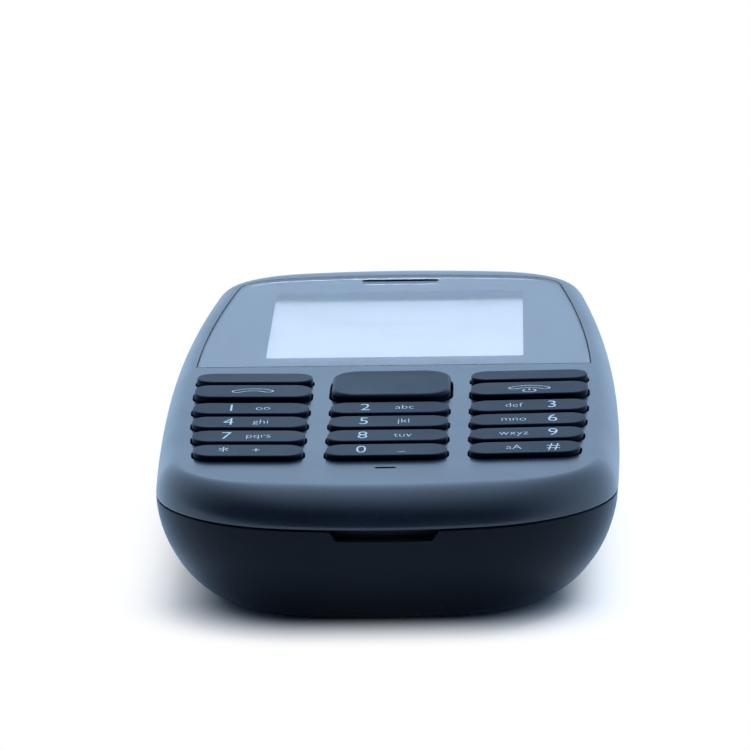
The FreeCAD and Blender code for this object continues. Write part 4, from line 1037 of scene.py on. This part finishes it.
# The photograph's frame in pixels, and the view that was fitted to it: focal length in pixels, distance in
# mm, how far from the near end it aims, the pixel of that point, and elevation, azimuth and roll in degrees
FRAME = 750
SENSOR_MM = 36.0
FOCAL = 6219.0
DISTANCE = 636.2
AIM_FROM_END = 10.0
AIM_PIXEL = (384.87, 471.62)
VIEW_ANGLES = (13.492, 1.334, -0.999)


def floor():
    """A plain pale floor: it keeps the phone's shadow, and fades to plain white away from it."""
    made, tree, shader = material("pale_floor")
    shader.inputs["Base Color"].default_value = colour("#f4f7fb")
    shader.inputs["Roughness"].default_value = 0.7
    shader.inputs["Specular IOR Level"].default_value = 0.1
    output = [item for item in tree.nodes if item.type == "OUTPUT_MATERIAL"][0]
    place = node(tree, "ShaderNodeTexCoord").outputs["Object"]
    beside = node(tree, "ShaderNodeVectorMath", {"operation": "ABSOLUTE"}, i0=place)
    core = (FOOT_CORE[0] * MM, FOOT_CORE[1] * MM, 1.0)
    beside = node(tree, "ShaderNodeVectorMath", {"operation": "SUBTRACT"}, i0=beside.outputs[0], i1=core)
    nothing = (0.0, 0.0, 0.0)
    beside = node(tree, "ShaderNodeVectorMath", {"operation": "MAXIMUM"}, i0=beside.outputs[0], i1=nothing)
    away = node(tree, "ShaderNodeVectorMath", {"operation": "LENGTH"}, i0=beside.outputs[0])
    fade = node(tree, "ShaderNodeMapRange", {"interpolation_type": "SMOOTHSTEP"}, Value=away.outputs["Value"])
    fade.inputs["From Min"].default_value = SHADOW_REACH[0] * MM
    fade.inputs["From Max"].default_value = SHADOW_REACH[1] * MM
    path = node(tree, "ShaderNodeLightPath")
    seen = path.outputs["Is Camera Ray"]
    for kind in ("Is Glossy Ray", "Is Transmission Ray"):
        seen = node(tree, "ShaderNodeMath", {"operation": "MAXIMUM"}, i0=seen, i1=path.outputs[kind]).outputs[0]
    tint = ramp(tree, path.outputs["Is Camera Ray"], colour(SKY_BLUE), grey(1.0), 0.0, 1.0)
    white = node(tree, "ShaderNodeEmission", Color=tint, Strength=1.0)
    share = node(tree, "ShaderNodeMath", {"operation": "MULTIPLY"}, i0=seen, i1=fade.outputs[0])
    both = node(tree, "ShaderNodeMixShader", i0=share.outputs[0], i1=shader.outputs[0], i2=white.outputs[0])
    tree.links.new(both.outputs[0], output.inputs["Surface"])
    bm = bmesh.new()
    bmesh.ops.create_grid(bm, x_segments=1, y_segments=1, size=FLOOR_HALF)
    bmesh.ops.translate(bm, vec=(0, 0, -FLOOR_DROP), verts=bm.verts)
    ground = put_down(bm, "floor", material=made)


def light(name, place, aim, size, power, tint):
    """A soft rectangular lamp at a place, turned to a point and left out of reflections, in metres."""
    lamp = bpy.data.lights.new(name, "AREA")
    lamp.shape = "RECTANGLE"
    lamp.size, lamp.size_y = size
    lamp.energy = power
    lamp.color = tint[:3]
    holder = bpy.data.objects.new(name, lamp)
    bpy.context.scene.collection.objects.link(holder)
    place = Vector(place)
    holder.location = place
    holder.rotation_euler = (Vector(aim) - place).to_track_quat("-Z", "Y").to_euler()
    holder.visible_glossy = False


def sky():
    """A white surround to the eye; a pale blue one to the phone, dark on the side that faces the near end."""
    world = bpy.data.worlds.new("studio")
    bpy.context.scene.world = world
    world.use_nodes = True
    tree = world.node_tree
    tree.nodes.clear()
    way = node(tree, "ShaderNodeTexCoord").outputs["Object"]
    along = node(tree, "ShaderNodeVectorMath", {"operation": "DOT_PRODUCT"}, i0=way, i1=BRIGHT_SIDE)
    lit = node(tree, "ShaderNodeMapRange", {"interpolation_type": "SMOOTHSTEP"}, Value=along.outputs["Value"])
    lit.inputs["From Min"].default_value = -0.65
    lit.inputs["From Max"].default_value = 0.5
    lit.inputs["To Min"].default_value = 0.06
    path = node(tree, "ShaderNodeLightPath")
    soft = node(tree, "ShaderNodeBackground", Color=colour(SKY_BLUE), Strength=lit.outputs[0])
    white = node(tree, "ShaderNodeBackground", Color=[1.0, 1.0, 1.0, 1.0], Strength=1.0)
    seen = path.outputs["Is Camera Ray"]
    both = node(tree, "ShaderNodeMixShader", i0=seen, i1=soft.outputs[0], i2=white.outputs[0])
    output = node(tree, "ShaderNodeOutputWorld")
    tree.links.new(both.outputs[0], output.inputs["Surface"])


def camera():
    """The photograph's long view, low over the near end, slightly to the right of the middle line."""
    elevation, azimuth, roll = (math.radians(angle) for angle in VIEW_ANGLES)
    aim = Vector((0.0, AIM_FROM_END - HALF_LENGTH, FACE_Z))
    back = Vector((
        math.sin(azimuth) * math.cos(elevation), -math.cos(azimuth) * math.cos(elevation), math.sin(elevation),
    ))
    place = aim + back * DISTANCE
    right = (-back).cross(Vector((0, 0, 1))).normalized()
    up = right.cross(-back)
    right, up = math.cos(roll) * right + math.sin(roll) * up, math.cos(roll) * up - math.sin(roll) * right
    # The lens looks at the middle of the frame, which is a little above and left of the aim
    off_right = (FRAME / 2 - AIM_PIXEL[0]) / FOCAL
    off_up = (AIM_PIXEL[1] - FRAME / 2) / FOCAL
    ahead = (-back + right * off_right + up * off_up).normalized()
    right = (right - ahead * right.dot(ahead)).normalized()
    up = right.cross(ahead)
    data = bpy.data.cameras.new("long_lens")
    data.sensor_width = SENSOR_MM
    data.lens = FOCAL / FRAME * SENSOR_MM
    data.clip_start = 0.01
    data.clip_end = 20.0
    holder = bpy.data.objects.new("long_lens", data)
    bpy.context.scene.collection.objects.link(holder)
    turn = Matrix((right, up, -ahead)).transposed().to_4x4()
    holder.matrix_world = Matrix.Translation(place * MM) @ turn
    bpy.context.scene.camera = holder


floor()
sky()
light("top_softbox", (0.2, 0.55, 0.8), (0, 0, 0), (0.9, 0.9), 20.0, colour("#eaf3ff"))
camera()
bpy.context.scene.view_settings.view_transform = "Standard"
